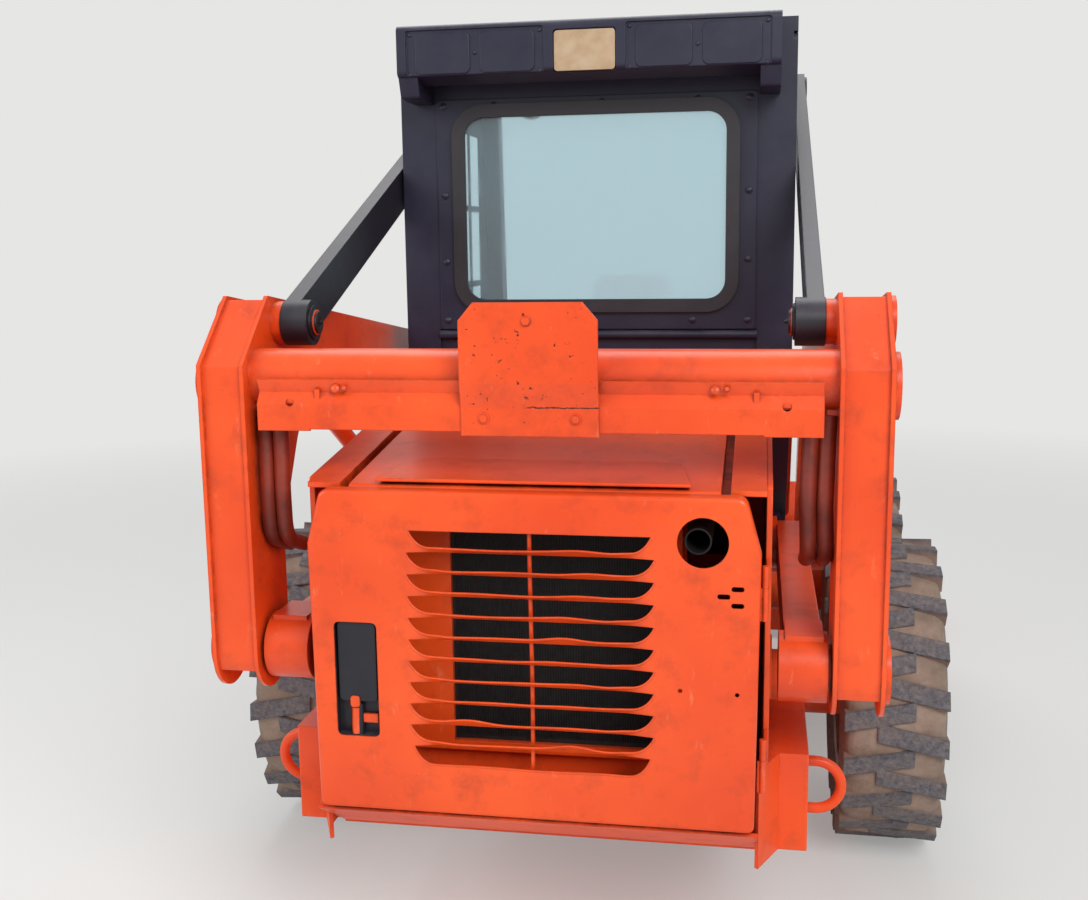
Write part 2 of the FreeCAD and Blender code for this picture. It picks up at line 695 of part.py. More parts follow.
def cab_shell():
    """Side frames with window openings, posts, roof, lower walls and rear crossbars."""
    rear, front, top = s.cab_rear, s.cab_front, s.cab_roof
    side = plate("CabSide", "YZ", [
        rounded([
            (rear, s.cab_sill), (rear, top - s.roof_depth, 20), (front - 60, top - s.roof_depth, 40),
            (front, s.cab_sill, 60), (front + 60, s.tub_top + s.fit), (s.haunch_front, s.tub_top + s.fit),
            (s.haunch_front, s.haunch_low, 40),
        ]),
        rounded([
            (rear + 90, s.cab_sill + 30, 40), (rear + 90, top - 150, 40), (front - 127, top - 150, 50),
            (front - 80, s.cab_sill + 30, 40),
        ]),
    ], "cab_half_width - cab_plate", "cab_half_width")
    foot = block("CabFoot", "tub_half_width - tub_plate", "haunch_front", "tub_top + fit",
                 "cab_half_width - cab_plate - tub_half_width + tub_plate", "cab_front + 40 - haunch_front",
                 "cab_plate")
    haunch = plate("CabHaunch", "YZ", [rounded([
        (rear, s.cab_sill), (s.haunch_front, s.haunch_low), (s.haunch_front, s.tub_top + s.fit),
        (s.haunch_front + s.cab_plate, s.tub_top + s.fit), (s.haunch_front + s.cab_plate, s.haunch_low + 4),
        (rear, s.cab_sill + 14),
    ])], "tub_half_width + fit", "cab_half_width - cab_plate")
    post = fuse("CabRearPost",
                block("CabPostTop", "cab_half_width - post_width", "cab_rear", "cab_sill", "post_width - cab_plate",
                      "post_depth", "cab_roof - roof_depth - cab_sill"),
                block("CabPostFoot", "cab_half_width - post_width", "cab_rear", "tub_top + 280",
                      "tub_half_width - cab_half_width + post_width", "post_depth", "cab_sill - tub_top - 280"))
    front_post = plate("CabFrontPost", "YZ", [rounded([
        (front - 76, s.cab_sill), (front - 133, top - s.roof_depth), (front - 75, top - s.roof_depth),
        (front - 10, s.cab_sill),
    ])], "cab_half_width - 60", "cab_half_width - cab_plate")
    roof = block("CabRoof", "-cab_half_width", "cab_rear", "cab_roof - roof_depth", "2 * cab_half_width",
                 "cab_front - 40 - cab_rear", "roof_depth")
    header = block("CabHeader", "60 - cab_half_width", "cab_front - 140", "cab_roof - 110",
                   "2 * (cab_half_width - 60)", "60", "110 - roof_depth")
    lap = s.rubber_lap
    frame = plate("CabRearFrame", "XZ", [
        rounded([(-s.panel_wide - 6, s.panel_low), (s.panel_wide + 6, s.panel_low),
                 (s.panel_wide + 6, s.panel_high + 2), (-s.panel_wide - 6, s.panel_high + 2)]),
        rounded([(side * (s.window_half_width + lap), level, s.window_corner + lap) for side, level in (
            (-1, s.window_low - lap), (1, s.window_low - lap), (1, s.window_high + lap), (-1, s.window_high + lap))]),
    ], "cab_rear", "cab_rear + cab_plate")
    beam = block("CabRearBeam", "post_width - cab_half_width", "cab_rear", "panel_high + fit",
                 "2 * (cab_half_width - post_width)", "post_depth", "cab_roof - roof_depth - panel_high - fit")
    low = block("CabRearWall", "post_width - cab_half_width", "cab_rear + 12", "tub_top + 280",
                "2 * (cab_half_width - post_width)", "cab_plate", "panel_low - tub_top - 280")
    bar = rod("CabRearBar", "x", "post_width - cab_half_width", "cab_rear + 2", "panel_low - 14", "11",
              "2 * (cab_half_width - post_width)")
    node("cab_shell", fuse("CabShell", side, mirror(side), foot, mirror(foot), haunch, mirror(haunch), post,
                           mirror(post), front_post, mirror(front_post), roof, header, beam, frame, low, bar))


def cab_rear_wall():
    """Bolted panel with the window, its rubber and its glass."""
    def frame(half, low, high, corner):
        return rounded([(-half, low, corner), (half, low, corner), (half, high, corner), (-half, high, corner)])

    hole = frame(s.window_half_width, s.window_low, s.window_high, s.window_corner)
    panel = plate("RearPanel", "XZ", [
        frame(s.panel_wide, s.panel_low + s.fit, s.panel_high, 8), hole,
    ], "cab_rear - panel_plate - fit", "cab_rear - fit")
    node("cab_rear_panel", panel)
    lap = s.rubber_lap
    rubber = plate("WindowRubber", "XZ", [
        frame(s.window_half_width + lap, s.window_low - lap, s.window_high + lap, s.window_corner + lap),
        frame(s.window_half_width - lap, s.window_low + lap, s.window_high - lap, s.window_corner - lap),
    ], "cab_rear - panel_plate - 2 * fit - 12", "cab_rear - panel_plate - 2 * fit")
    node("rear_window_rubber", rubber)
    shrink = s.fit
    glass = plate("RearGlass", "XZ", [
        frame(s.window_half_width - shrink, s.window_low + shrink, s.window_high - shrink, s.window_corner),
    ], "cab_rear - glass_plate - fit", "cab_rear - fit")
    node("rear_glass", glass)


def light_bar():
    """Rear visor of the roof with its lamp lens and tapered ears at the ends."""
    rear, front = s.bar_rear, s.cab_rear - s.fit
    profile = rounded([
        (rear, s.bar_low + 14, 14), (rear, s.bar_high, 16), (front, s.bar_high, 6), (front, s.bar_low + 20),
        (rear + 60, s.bar_low - 4, 10),
    ])
    bar = plate("LightBarBeam", "YZ", [profile], "-bar_half_width", "bar_half_width")
    recess = plate("LightBarRecess", "XZ", [
        rounded([(94, s.bar_low + 8, 6), (419, s.bar_low + 8, 6), (419, s.bar_high - 13, 6), (94, s.bar_high - 13, 6)]),
    ], "bar_rear - 1", "bar_rear + 5")
    lens_hole = plate("LensPocket", "XZ", [
        rounded([(-72, s.bar_low + 11, 8), (72, s.bar_low + 11, 8), (72, s.bar_high - 23, 8),
                 (-72, s.bar_high - 23, 8)]),
    ], "bar_rear - 1", "bar_rear + 20")
    ear = plate("LightBarEar", "YZ", [rounded([
        (rear + 4, s.bar_low + 30), (rear + 30, s.ear_low, 12), (front, s.ear_low, 4), (front, s.bar_low + 30),
    ])], "bar_half_width - 46", "bar_half_width")
    node("light_bar", cut("LightBar", fuse("LightBarSolid", bar, ear, mirror(ear)), recess, mirror(recess), lens_hole))
    lens = plate("LensBody", "XZ", [
        rounded([(-70, s.bar_low + 13, 8), (70, s.bar_low + 13, 8), (70, s.bar_high - 25, 8),
                 (-70, s.bar_high - 25, 8)]),
    ], "bar_rear + 3", "bar_rear + 19.7")
    node("rear_lamp", lens)
    lamp = rod("FrontLampBody", "y", "330", "cab_front - 80 + fit", "cab_roof - 78", "42", "60")
    node("front_lamps", both("FrontLamps", lamp))


def side_screens():
    """Slotted steel screens in the side windows."""
    rear, front = s.cab_rear + 80, s.cab_front - 78
    outline = rounded([
        (rear, s.cab_sill + 20, 20), (rear, s.cab_roof - 140, 20), (front - 52, s.cab_roof - 140, 20),
        (front, s.cab_sill + 20, 20),
    ])
    slots = []
    columns, rows = 5, 3
    wide, tall = 118, 208
    for column in range(columns):
        for row_index in range(rows):
            left = rear + 48 + column * (wide + 20)
            low = s.cab_sill + 55 + row_index * (tall + 18)
            slots.append(rounded([(left, low), (left + wide, low), (left + wide, low + tall), (left, low + tall)]))
    screen = plate("SideScreen", "YZ", [outline, *slots], "cab_half_width - cab_plate - fit - 4",
                   "cab_half_width - cab_plate - fit")
    node("side_screens", both("SideScreens", screen))


def cab_inside():
    """Stepped floor, seat box, seat, levers and pedals."""
    half = "footwell_half_width - fit"
    wall, sill = s.bulkhead + s.tub_plate + s.fit, s.tub_front - 90 - s.tub_plate - s.fit
    floor = plate("CabFloor", "YZ", [rounded([
        (wall, s.tub_top - 8), (s.seat_front + 40, s.tub_top - 8), (s.seat_front + 60, s.floor_height),
        (sill, s.floor_height), (sill, s.floor_height + 8),
        (s.seat_front + 68, s.floor_height + 8), (s.seat_front + 48, s.tub_top), (wall, s.tub_top),
    ])], f"-({half})", half)
    node("cab_floor", floor)
    base = block("SeatBase", "-seat_half_width + 40", "seat_rear + 60", "tub_top + fit", "2 * seat_half_width - 80",
                 "seat_front - seat_rear - 120", "seat_base_rise")
    seat_low = s.tub_top + s.seat_base_rise + 2 * s.fit
    seat_height = seat_low + s.cushion_thick
    node("seat_base", group("SeatBasePiece", base))
    cushion = plate("SeatCushion", "YZ", [rounded([
        (s.seat_rear + 70, seat_low, 10), (s.seat_rear + 70, seat_height, 20),
        (s.seat_front, seat_height + 20, 40), (s.seat_front + 10, seat_low, 30),
    ])], "-seat_half_width", "seat_half_width")
    back = plate("SeatBack", "YZ", [rounded([
        (s.seat_rear + 40, seat_low), (s.seat_rear - 40, s.seat_back_top, 30),
        (s.seat_rear + 40, s.seat_back_top, 36), (s.seat_rear + 69, seat_height + 10),
        (s.seat_rear + 69, seat_low),
    ])], "-seat_half_width", "seat_half_width")
    node("seat", group("Seat", cushion, back))
    stick = rod("LeverStick", "z", "lever_across", "lever_ahead", "floor_height + 8 + fit", "9",
                "lever_top - floor_height - 8")
    grip = rod("LeverGrip", "z", "lever_across", "lever_ahead", "lever_top - 110", "19", "120")
    boot = rod("LeverBoot", "z", "lever_across", "lever_ahead", "floor_height + 8 + fit", "34", "60")
    node("control_levers", both("ControlLevers", fuse("ControlLever", stick, grip, boot)))
    pedal = plate("Pedal", "YZ", [rounded([
        (s.tub_front - 200, s.floor_height + 8.3), (s.tub_front - 200, s.floor_height + 40, 8),
        (s.tub_front - 130, s.floor_height + 90, 8), (s.tub_front - 120, s.floor_height + 80, 4),
        (s.tub_front - 150, s.floor_height + 8.3),
    ])], "110", "210")
    node("foot_pedals", both("FootPedals", pedal))


def lap_bar():
    """Padded bar that swings down over the operator's lap."""
    reach = s.lever_ahead - s.lap_bar_ahead - 60
    drop = 210
    arm = plate("LapBarArm", "YZ", [lobes((s.lap_bar_ahead, s.lap_bar_height), 24,
                                          (s.lap_bar_ahead + reach, s.lap_bar_height - drop), 18)],
                "footwell_half_width + 90", "footwell_half_width + 102")
    pivot = rod("LapBarPivot", "x", "footwell_half_width + 102", "lap_bar_ahead", "lap_bar_height", "18",
                "cab_half_width - cab_plate - 4 - 2 * fit - footwell_half_width - 102")
    bar = rod("LapBarRod", "x", "-footwell_half_width - 90", f"lap_bar_ahead + {reach}", f"lap_bar_height - {drop}",
              "lap_bar_radius", "2 * footwell_half_width + 180")
    pad = rod("LapBarPad", "x", "-180", f"lap_bar_ahead + {reach}", f"lap_bar_height - {drop}", "30", "360")
    node("lap_bar", fuse("LapBar", arm, mirror(arm), pivot, mirror(pivot), bar, pad))


# Rear door


def door_hinges():
    """Pins, knuckles and straps that carry the rear door on the tub's right side plate."""
    pieces = []
    for level in ("hinge_low", "hinge_high"):
        name = level.title().replace("_", "")
        pieces.append(fuse(
            name + "Hinge",
            rod(name + "Pin", "z", "hinge_across", "hinge_ahead", level, "hinge_pin_radius", "knuckle_length + 40"),
            rod(name + "Seat", "z", "hinge_across", "hinge_ahead", f"{level} + knuckle_length + fit",
                "knuckle_radius", "40 - fit"),
            block(name + "Strap", "hinge_across + 2", "hinge_ahead", f"{level} + knuckle_length + fit", "6",
                  "tub_rear - hinge_ahead - fit", "40 - fit"),
        ))
    node("door_hinges", group("DoorHinges", *pieces))


def rear_door():
    """Pan of folded sheet with the louvred field, the pipe's hole and the latch's slot."""
    wide, narrow = s.door_half_width, s.door_top_half_width
    corner = s.door_corner

    def pan(inset):
        return rounded([
            (-wide + inset + 6, s.door_bottom + inset, corner), (wide - inset - 6, s.door_bottom + inset, corner),
            (wide - inset, s.door_kink), (narrow - inset, s.door_top - inset, 12),
            (-narrow + inset, s.door_top - inset, 12), (-wide + inset, s.door_kink),
        ])

    shell = plate("DoorPan", "XZ", [pan(0)], "0", "door_depth")
    hollow = plate("DoorHollow", "XZ", [pan(s.door_skin)], "door_skin", "door_depth + 1")
    openings = []
    for index in range(int(s.louvre_count)):
        top = s.louvre_top - index * s.louvre_pitch
        low = top - s.louvre_gap
        openings.append(rounded([
            (-s.louvre_half_width, top), (-s.louvre_half_width + s.louvre_taper, low, 40),
            (s.louvre_half_width - s.louvre_taper, low, 40), (s.louvre_half_width, top),
        ]))
    slot = rounded([
        (-s.latch_slot_outer, s.latch_slot_bottom, s.slot_corner), (-s.latch_slot_inner, s.latch_slot_bottom, s.slot_corner),
        (-s.latch_slot_inner, s.latch_slot_top, s.slot_corner), (-s.latch_slot_outer, s.latch_slot_top, s.slot_corner),
    ])
    drilled = [circle(s.pipe_across + 9, s.pipe_height + 2, s.pipe_hole)]
    drilled += [circle(across, up, 4) for across, up in ((273, 734), (373, 731))]
    drilled += [rounded([(x - 11, z - 4.5, 4.4), (x + 11, z - 4.5, 4.4), (x + 11, z + 4.5, 4.4), (x - 11, z + 4.5, 4.4)])
                for x, z in ((372, 923), (348, 909), (372, 893))]
    holes = plate("DoorHoles", "XZ", [*openings, slot, *drilled], "-1", "door_skin + 1")
    slats = []
    for index in range(int(s.louvre_count) - 1):
        low = s.louvre_top - index * s.louvre_pitch - s.louvre_gap
        slats.append(plate(f"Slat{index}", "YZ", [rounded([
            (-s.louvre_out, low - 3), (-s.louvre_out, low + 1), (s.slat_depth, low - s.slat_droop + s.slat_plate),
            (s.slat_depth, low - s.slat_droop),
        ])], "louvre_taper - louvre_half_width", "louvre_half_width - louvre_taper"))
    rib = rod("LouvreRib", "z", "6", "slat_depth - 4", "louvre_top - louvre_pitch * louvre_count + 2", "4",
              "louvre_pitch * louvre_count + 8")
    knuckles, bores = [], []
    for level in ("hinge_low", "hinge_high"):
        name = level.title().replace("_", "")
        knuckles.append(rod(name + "Knuckle", "z", "hinge_across", "hinge_ahead", level, "knuckle_radius",
                            "knuckle_length"))
        knuckles.append(block(name + "Leaf", "door_half_width - 2", "hinge_ahead - 3", level,
                              "hinge_across - door_half_width + 2", "6", "knuckle_length"))
        bores.append(rod(name + "Bore", "z", "hinge_across", "hinge_ahead", f"{level} - 1",
                         "hinge_pin_radius + bore_play", "knuckle_length + 2"))
    sheet_part = cut("DoorSheet", shell, hollow, holes)
    node("rear_door", cut("RearDoor", fuse("RearDoorSolid", sheet_part, *slats, rib, *knuckles), *bores))
    backing = block("LatchBack", "-latch_slot_outer - 14", "door_skin + fit", "latch_slot_bottom - 14",
                    "latch_slot_outer - latch_slot_inner + 28", "22", "latch_slot_top - latch_slot_bottom + 28")
    recess = block("LatchRecess", "-latch_slot_outer", "door_skin", "latch_slot_bottom",
                   "latch_slot_outer - latch_slot_inner", "16", "latch_slot_top - latch_slot_bottom")
    pin = rod("LatchPin", "z", "-325", "14", "latch_slot_bottom - 2", "7", "60")
    node("door_latch", fuse("DoorLatch", cut("LatchBox", backing, recess), pin))


# Lift arms and what they carry


def arm_outline(inset):
    """Side view of one arm: tower, top run, front bend and the leg to the bucket pin."""
    lobe = s.tower_lobe - inset
    rear = s.tower_rear + inset
    low_y, low_z = s.low_pin_ahead, s.low_pin_height
    pin_y, pin_z = s.bucket_pin_ahead, s.bucket_pin_height
    end = s.arm_lobe - inset / 2
    return rounded([
        (rear, s.tower_bend - inset / 2),
        (s.top_pin_ahead - 47, s.top_pin_height + 55 - inset),
        (1117, 1302 - inset, 400),
        (s.tilt_base_ahead - 50, s.tilt_base_height + 145 - inset, 160),
        (pin_y - 255 - inset, pin_z + 700, 160),
        (pin_y + end, pin_z + 40, 60),
        (pin_y + end, pin_z - end, end - 0.1),
        (pin_y - end, pin_z - end, end - 0.1),
        (pin_y - end - 6, pin_z + 40, 40),
        (pin_y - 225 + inset, pin_z + 400, 120),
        (pin_y - 390, pin_z + 660 + inset, 120),
        (s.tilt_base_ahead - 210, s.tilt_base_height + 12 + inset, 160),
        (620, 1198 + inset, 200),
        (330 - inset, 1165 + inset, 90),
        (low_y + lobe, 960, 60),
        (low_y + lobe, low_z - lobe, lobe - 0.1),
        (rear, low_z - lobe, min(lobe, low_y - rear) - 0.1),
    ])


def lift_arms():
    """Boxed arms with proud side plates, joined by the rear cross tube and the foot tube."""
    outer = plate("ArmOuterPlate", "YZ", [arm_outline(0)], "arm_outer - arm_plate", "arm_outer")
    inner = plate("ArmInnerPlate", "YZ", [arm_outline(0)], "arm_inner", "arm_inner + arm_plate")
    core = plate("ArmCore", "YZ", [arm_outline(s.plate_proud)], "arm_inner + arm_plate", "arm_outer - arm_plate")
    pocket = block("LiftEyePocket", "arm_inner + arm_plate", "lift_eye_ahead - 60", "lift_eye_height - 200",
                   "arm_outer - arm_inner - 2 * arm_plate", "330", "240")
    fork = block("TowerFork", "arm_inner + arm_plate", "tower_rear", "low_pin_height - 100",
                 "arm_outer - arm_inner - 2 * arm_plate", "200", "62")
    box = fuse("ArmBox", outer, inner, cut("ArmHollow", core, pocket, fork))
    bosses = [
        rod("TopPinCap", "x", "arm_outer", "top_pin_ahead - 20", "top_pin_height + 2", "46", "10"),
        rod("CrossTubeCap", "x", "arm_outer", "cross_tube_ahead", "cross_tube_height - 10", "60", "12"),
        rod("LowPinCap", "x", "arm_outer", "low_pin_ahead", "low_pin_height", "62", "11"),
        rod("TopCollar", "x", "upper_boss_outer + fit", "top_pin_ahead", "top_pin_height", "42",
            "arm_inner - upper_boss_outer - fit"),
        rod("TopPin", "x", "upper_boss_inner - 8", "top_pin_ahead", "top_pin_height", "pin_radius",
            "arm_inner - upper_boss_inner + 8"),
        rod("LiftEyeBossIn", "x", "arm_inner", "lift_eye_ahead", "lift_eye_height", "22",
            "lift_across - lift_eye_half - fit - arm_inner"),
        rod("LiftEyeBossOut", "x", "lift_across + lift_eye_half + fit", "lift_eye_ahead", "lift_eye_height", "22",
            "arm_outer - lift_across - lift_eye_half - fit"),
        rod("TiltPin", "x", "tilt_across - tilt_barrel_radius - 7", "tilt_base_ahead", "tilt_base_height", "18",
            "arm_inner - tilt_across + tilt_barrel_radius + 7"),
        rod("TiltBoss", "x", "tilt_across + tilt_barrel_radius + 1 + fit", "tilt_base_ahead", "tilt_base_height",
            "44", "arm_inner - tilt_across - tilt_barrel_radius - 1 - fit"),
    ]
    bore = rod("BucketPinBore", "x", "arm_inner - 1", "bucket_pin_ahead", "bucket_pin_height",
               "pin_radius + bore_play", "arm_outer - arm_inner + 2")
    right = cut("ArmRight", fuse("ArmRightSolid", box, *bosses), bore)
    tube = rod("CrossTube", "x", "-arm_inner - 1", "cross_tube_ahead", "cross_tube_height", "cross_tube_radius",
               "2 * arm_inner + 2")
    foot = rod("FootTube", "x", "-arm_inner - 1", "foot_tube_ahead", "foot_tube_height", "foot_tube_radius",
               "2 * arm_inner + 2")
    node("lift_arms", fuse("LiftArms", right, mirror(right), tube, foot))


def cross_cover():
    """Folded channel behind the cross tube, and the bent plate bolted to its middle."""
    rear, thick = s.channel_rear, s.channel_plate
    valley = s.cross_tube_height - 21
    channel = plate("ChannelSheet", "YZ", [rounded([
        (rear + 4, s.cross_tube_height + 3), (rear + 15, valley), (rear, valley - 22), (rear, s.channel_low),
        (rear + thick, s.channel_low), (rear + thick, valley - 24), (rear + 15 + thick, valley),
        (rear + 4 + thick, s.cross_tube_height + 3),
    ])], "-channel_half_length", "channel_half_length")
    tab = block("ChannelTab", "channel_half_length - 101", "channel_rear", "channel_low - 3", "101", "channel_plate", "30")
    tube = rod("RibSeat", "x", "-channel_half_length", "cross_tube_ahead", "cross_tube_height",
               "cross_tube_radius + fit", "2 * channel_half_length")
    rib = block("ChannelRib", "channel_half_length - 120", "channel_rear + channel_plate", "channel_low + 12", "10",
                "60", "62")
    ribs = cut("ChannelRibs", both("RibPair", rib), tube)
    hole = rod("ChannelHole", "y", "channel_half_length - 63", "channel_rear - 1", "channel_low + 50", "8",
               "channel_plate + 2")
    node("cross_channel", cut("CrossChannel", fuse("ChannelSolid", channel, tab, mirror(tab), ribs), hole,
                              mirror(hole)))
    back, thin = s.cover_rear, s.cover_plate
    high, low = s.cross_tube_height - 1, s.cross_tube_height - 45
    front = s.channel_rear - s.fit
    profile = [
        (back, s.cover_top), (back, high), (front - thin, low), (front - thin, s.channel_low - 7),
        (front, s.channel_low - 7), (front, low), (back + thin, high - 1), (back + thin, s.cover_top),
    ]
    cover = plate("CoverSheet", "YZ", [rounded(profile)], "-cover_half_width", "cover_half_width")
    trim = plate("CoverCorner", "XZ", [rounded([
        (s.cover_half_width - 28, s.cover_top + 1), (s.cover_half_width + 1, s.cover_top + 1),
        (s.cover_half_width + 1, s.cover_top - 33),
    ])], "cover_rear - 5", "cover_rear + 30")
    seat = rod("StaySeat", "x", "-cover_half_width", "cross_tube_ahead", "cross_tube_height",
               "cross_tube_radius + fit", "2 * cover_half_width")
    stay = block("CoverStay", "-100", "cover_rear + cover_plate", "cross_tube_height + 30", "200",
                 "cross_tube_ahead - 45 - cover_rear - cover_plate + 20", "8")
    node("centre_plate", fuse("CentrePlate", cut("CoverCut", cover, trim, mirror(trim)),
                              cut("StayCut", stay, seat)))


def links():
    """Upper bars to the cab's top and lower bars to the tub, each with its pin bracket."""
    upper = plate("UpperBar", "YZ", [lobes((s.top_pin_ahead, s.top_pin_height), s.upper_boss_radius,
                                           (s.cab_pin_ahead, s.cab_pin_height), 48)],
                  "upper_bar_inner", "upper_bar_outer")
    boss = rod("UpperBoss", "x", "upper_boss_inner", "top_pin_ahead", "top_pin_height", "upper_boss_radius",
               "upper_boss_outer - upper_boss_inner")
    bores = [
        rod("UpperBore", "x", "upper_boss_inner - 1", "top_pin_ahead", "top_pin_height", "pin_radius + bore_play",
            "upper_boss_outer - upper_boss_inner + 2"),
        rod("CabPinBore", "x", "upper_bar_inner - 1", "cab_pin_ahead", "cab_pin_height", "pin_radius + bore_play",
            "upper_bar_outer - upper_bar_inner + 2"),
    ]
    node("upper_links", both("UpperLinks", cut("UpperLink", fuse("UpperLinkSolid", upper, boss), *bores)))
    lower = plate("LowerBar", "YZ", [lobes((s.low_pin_ahead, s.low_pin_height), s.lower_bar_half,
                                           (s.tub_pin_ahead, s.tub_pin_height), 58)],
                  "lower_bar_inner", "lower_bar_outer")
    low_boss = rod("LowerBoss", "x", "lower_boss_inner", "low_pin_ahead", "low_pin_height", "lower_boss_radius",
                   "lower_boss_outer - lower_boss_inner")
    collar = rod("LowerCollar", "x", "lower_boss_outer", "low_pin_ahead", "low_pin_height", "42",
                 "arm_inner - lower_boss_outer - 2 * fit")
    pad = block("LowerBossPad", "lower_bar_inner", "low_pin_ahead - 30", "low_pin_height", "lower_bar_outer - lower_bar_inner",
                "100", "lower_boss_radius + 2")
    hole = rod("TubPinBore", "x", "lower_bar_inner - 1", "tub_pin_ahead", "tub_pin_height", "pin_radius + bore_play",
               "lower_bar_outer - lower_bar_inner + 2")
    node("lower_links", both("LowerLinks", cut("LowerLink", fuse("LowerLinkSolid", lower, low_boss, collar, pad), hole)))


def pin_brackets():
    """Bosses and pins on the cab and the tub for the links and the lift cylinders."""
    cab = fuse("CabPinSolid",
               rod("CabPinBoss", "x", "cab_half_width", "cab_pin_ahead", "cab_pin_height", "46",
                   "upper_bar_inner - cab_half_width - fit"),
               rod("CabPin", "x", "cab_half_width", "cab_pin_ahead", "cab_pin_height", "pin_radius",
                   "upper_bar_outer + 8 - cab_half_width"),
               rod("CabPinCap", "x", "upper_bar_outer + fit", "cab_pin_ahead", "cab_pin_height", "38", "7"))
    node("upper_link_pins", both("UpperLinkPins", cab))
    tub = fuse("TubPinSolid",
               rod("TubPinBoss", "x", "tub_half_width", "tub_pin_ahead", "tub_pin_height", "70",
                   "lower_bar_inner - tub_half_width - fit"),
               rod("TubPin", "x", "tub_half_width", "tub_pin_ahead", "tub_pin_height", "pin_radius",
                   "lower_bar_outer + 8 - tub_half_width"),
               rod("TubPinCap", "x", "lower_bar_outer + fit", "tub_pin_ahead", "tub_pin_height", "40", "7"))
    base = fuse("LiftBaseSolid",
                rod("LiftBaseTube", "x", "tub_half_width", "lift_base_ahead", "lift_base_height", "45",
                    "lift_across - lift_barrel_radius - 1 - fit - tub_half_width"),
                rod("LiftBasePin", "x", "tub_half_width", "lift_base_ahead", "lift_base_height", "18",
                    "lift_across + lift_barrel_radius + 1 - tub_half_width"))
    node("lower_link_pins", both("LowerLinkPins", tub))
    node("lift_base_pins", both("LiftBasePins", base))


CYLINDERS = (
    # name, place across, base pin, eye pin, barrel radius and length, rod radius and length inside, eye size
    ("lift", "lift_across", "lift_base_ahead", "lift_base_height", "lift_eye_ahead", "lift_eye_height",
     "lift_barrel_radius", "lift_barrel_length", "lift_rod_radius", "lift_rod_inside", "lift_eye_radius",
     "lift_eye_half"),
    ("tilt", "tilt_across", "tilt_base_ahead", "tilt_base_height", "tilt_eye_ahead", "tilt_eye_height",
     "tilt_barrel_radius", "tilt_barrel_length", "tilt_rod_radius", "tilt_rod_inside", "tilt_eye_radius",
     "tilt_eye_half"),
)


def cylinders():
    """Lift and tilt cylinders: barrels with their base eyes, rods with their rod eyes."""
    for (name, across, base_y, base_z, eye_y, eye_z, radius, length, rod_radius, inside, eye, eye_half) in CYLINDERS:
        run_y = getattr(s, eye_y) - getattr(s, base_y)
        run_z = getattr(s, eye_z) - getattr(s, base_z)
        reach = math.hypot(run_y, run_z)
        angle = math.degrees(math.atan2(run_z, run_y))
        title = name.title()
        barrel = rod(title + "Barrel", "y", "0", eye, "0", radius, f"{length} - {eye}")
        gland = rod(title + "Gland", "y", "0", f"{length} - 34", "0", f"{radius} + 0.5", "34")
        base = rod(title + "BaseEye", "x", f"-{radius} - 1", "0", "0", f"{eye} + 4", f"2 * {radius} + 2")
        hollow = rod(title + "BarrelBore", "y", "0", f"{eye} + 24", "0", f"{rod_radius} + bore_play", f"{length}")
        pin_hole = rod(title + "BaseHole", "x", f"-{radius} - 2", "0", "0", "18 + bore_play", f"2 * {radius} + 4")
        barrel_solid = cut(title + "BarrelSolid", fuse(title + "BarrelParts", barrel, gland, base), hollow, pin_hole)
        stem = rod(title + "Stem", "y", "0", f"{reach} - {eye} + 4 - {inside}", "0", rod_radius, f"{inside}")
        rod_eye = rod(title + "RodEye", "x", f"-{eye_half}", str(reach), "0", eye, f"2 * {eye_half}")
        rod_hole = rod(title + "RodHole", "x", f"-{eye_half} - 1", str(reach), "0", "18 + bore_play",
                       f"2 * {eye_half} + 2")
        rod_solid = cut(title + "RodSolid", fuse(title + "RodParts", stem, rod_eye), rod_hole)
        for part_name, thing in (("barrels", barrel_solid), ("rods", rod_solid)):
            placed = group(f"{title}{part_name.title()}Right", thing)
            leaning(placed, base_y, base_z, angle)
            bind(placed, x=across)
            node(f"{name}_{part_name}", both(f"{title}{part_name.title()}", placed))


def hoses():
    """Two painted hoses down the inside of each tower, bent forward above the lower boss."""
    made = []
    rear, top, low = s.tower_rear + 45, s.cross_tube_height - 61, s.low_pin_height + 220
    for step in range(2):
        across = s.arm_inner - s.fit - s.hose_radius - step * (2 * s.hose_radius + s.fit)
        made.append(bent_tube([
            Vector(across, rear + 12, top), Vector(across - 4, rear, top - 160), Vector(across, rear + 14, low),
            Vector(across, rear + 110, low - 34),
        ], s.hose_radius, s.hose_bend))
    piece = doc.addObject("Part::Feature", "TowerHosesRight")
    piece.Shape = Part.makeCompound(made)
    node("tower_hoses", both("TowerHoses", piece))


def bent_tube(points, radius, bend):
    """A round tube along straight runs joined by tangent arcs."""
    edges = []
    start = points[0]
    for before, here, after in zip(points, points[1:], points[2:]):
        back, ahead = (before - here).normalize(), (after - here).normalize()
        half = back.getAngle(ahead) / 2
        reach = min(bend / math.tan(half), 0.45 * min((before - here).Length, (after - here).Length))
        arc_radius = reach * math.tan(half)
        middle = here + (back + ahead).normalize() * (arc_radius / math.sin(half) - arc_radius)
        first, last = here + back * reach, here + ahead * reach
        edges += [Part.LineSegment(start, first).toShape(), Part.Arc(first, middle, last).toShape()]
        start = last
    edges.append(Part.LineSegment(start, points[-1]).toShape())
    path = Part.Wire(edges)
    ring = Part.Wire([Part.Circle(points[0], points[1] - points[0], radius).toShape()])
    return path.makePipeShell([ring], True, False)


# Hitch and bucket


def hitch_face(height, behind=0):
    """Place of the leaning hitch plate's rear face, or of a plane some way ahead of it, at a height."""
    lean = math.tan(math.radians(s.hitch_lean))
    return s.bucket_pin_ahead + s.hitch_stand + behind + (height - s.bucket_pin_height) * lean


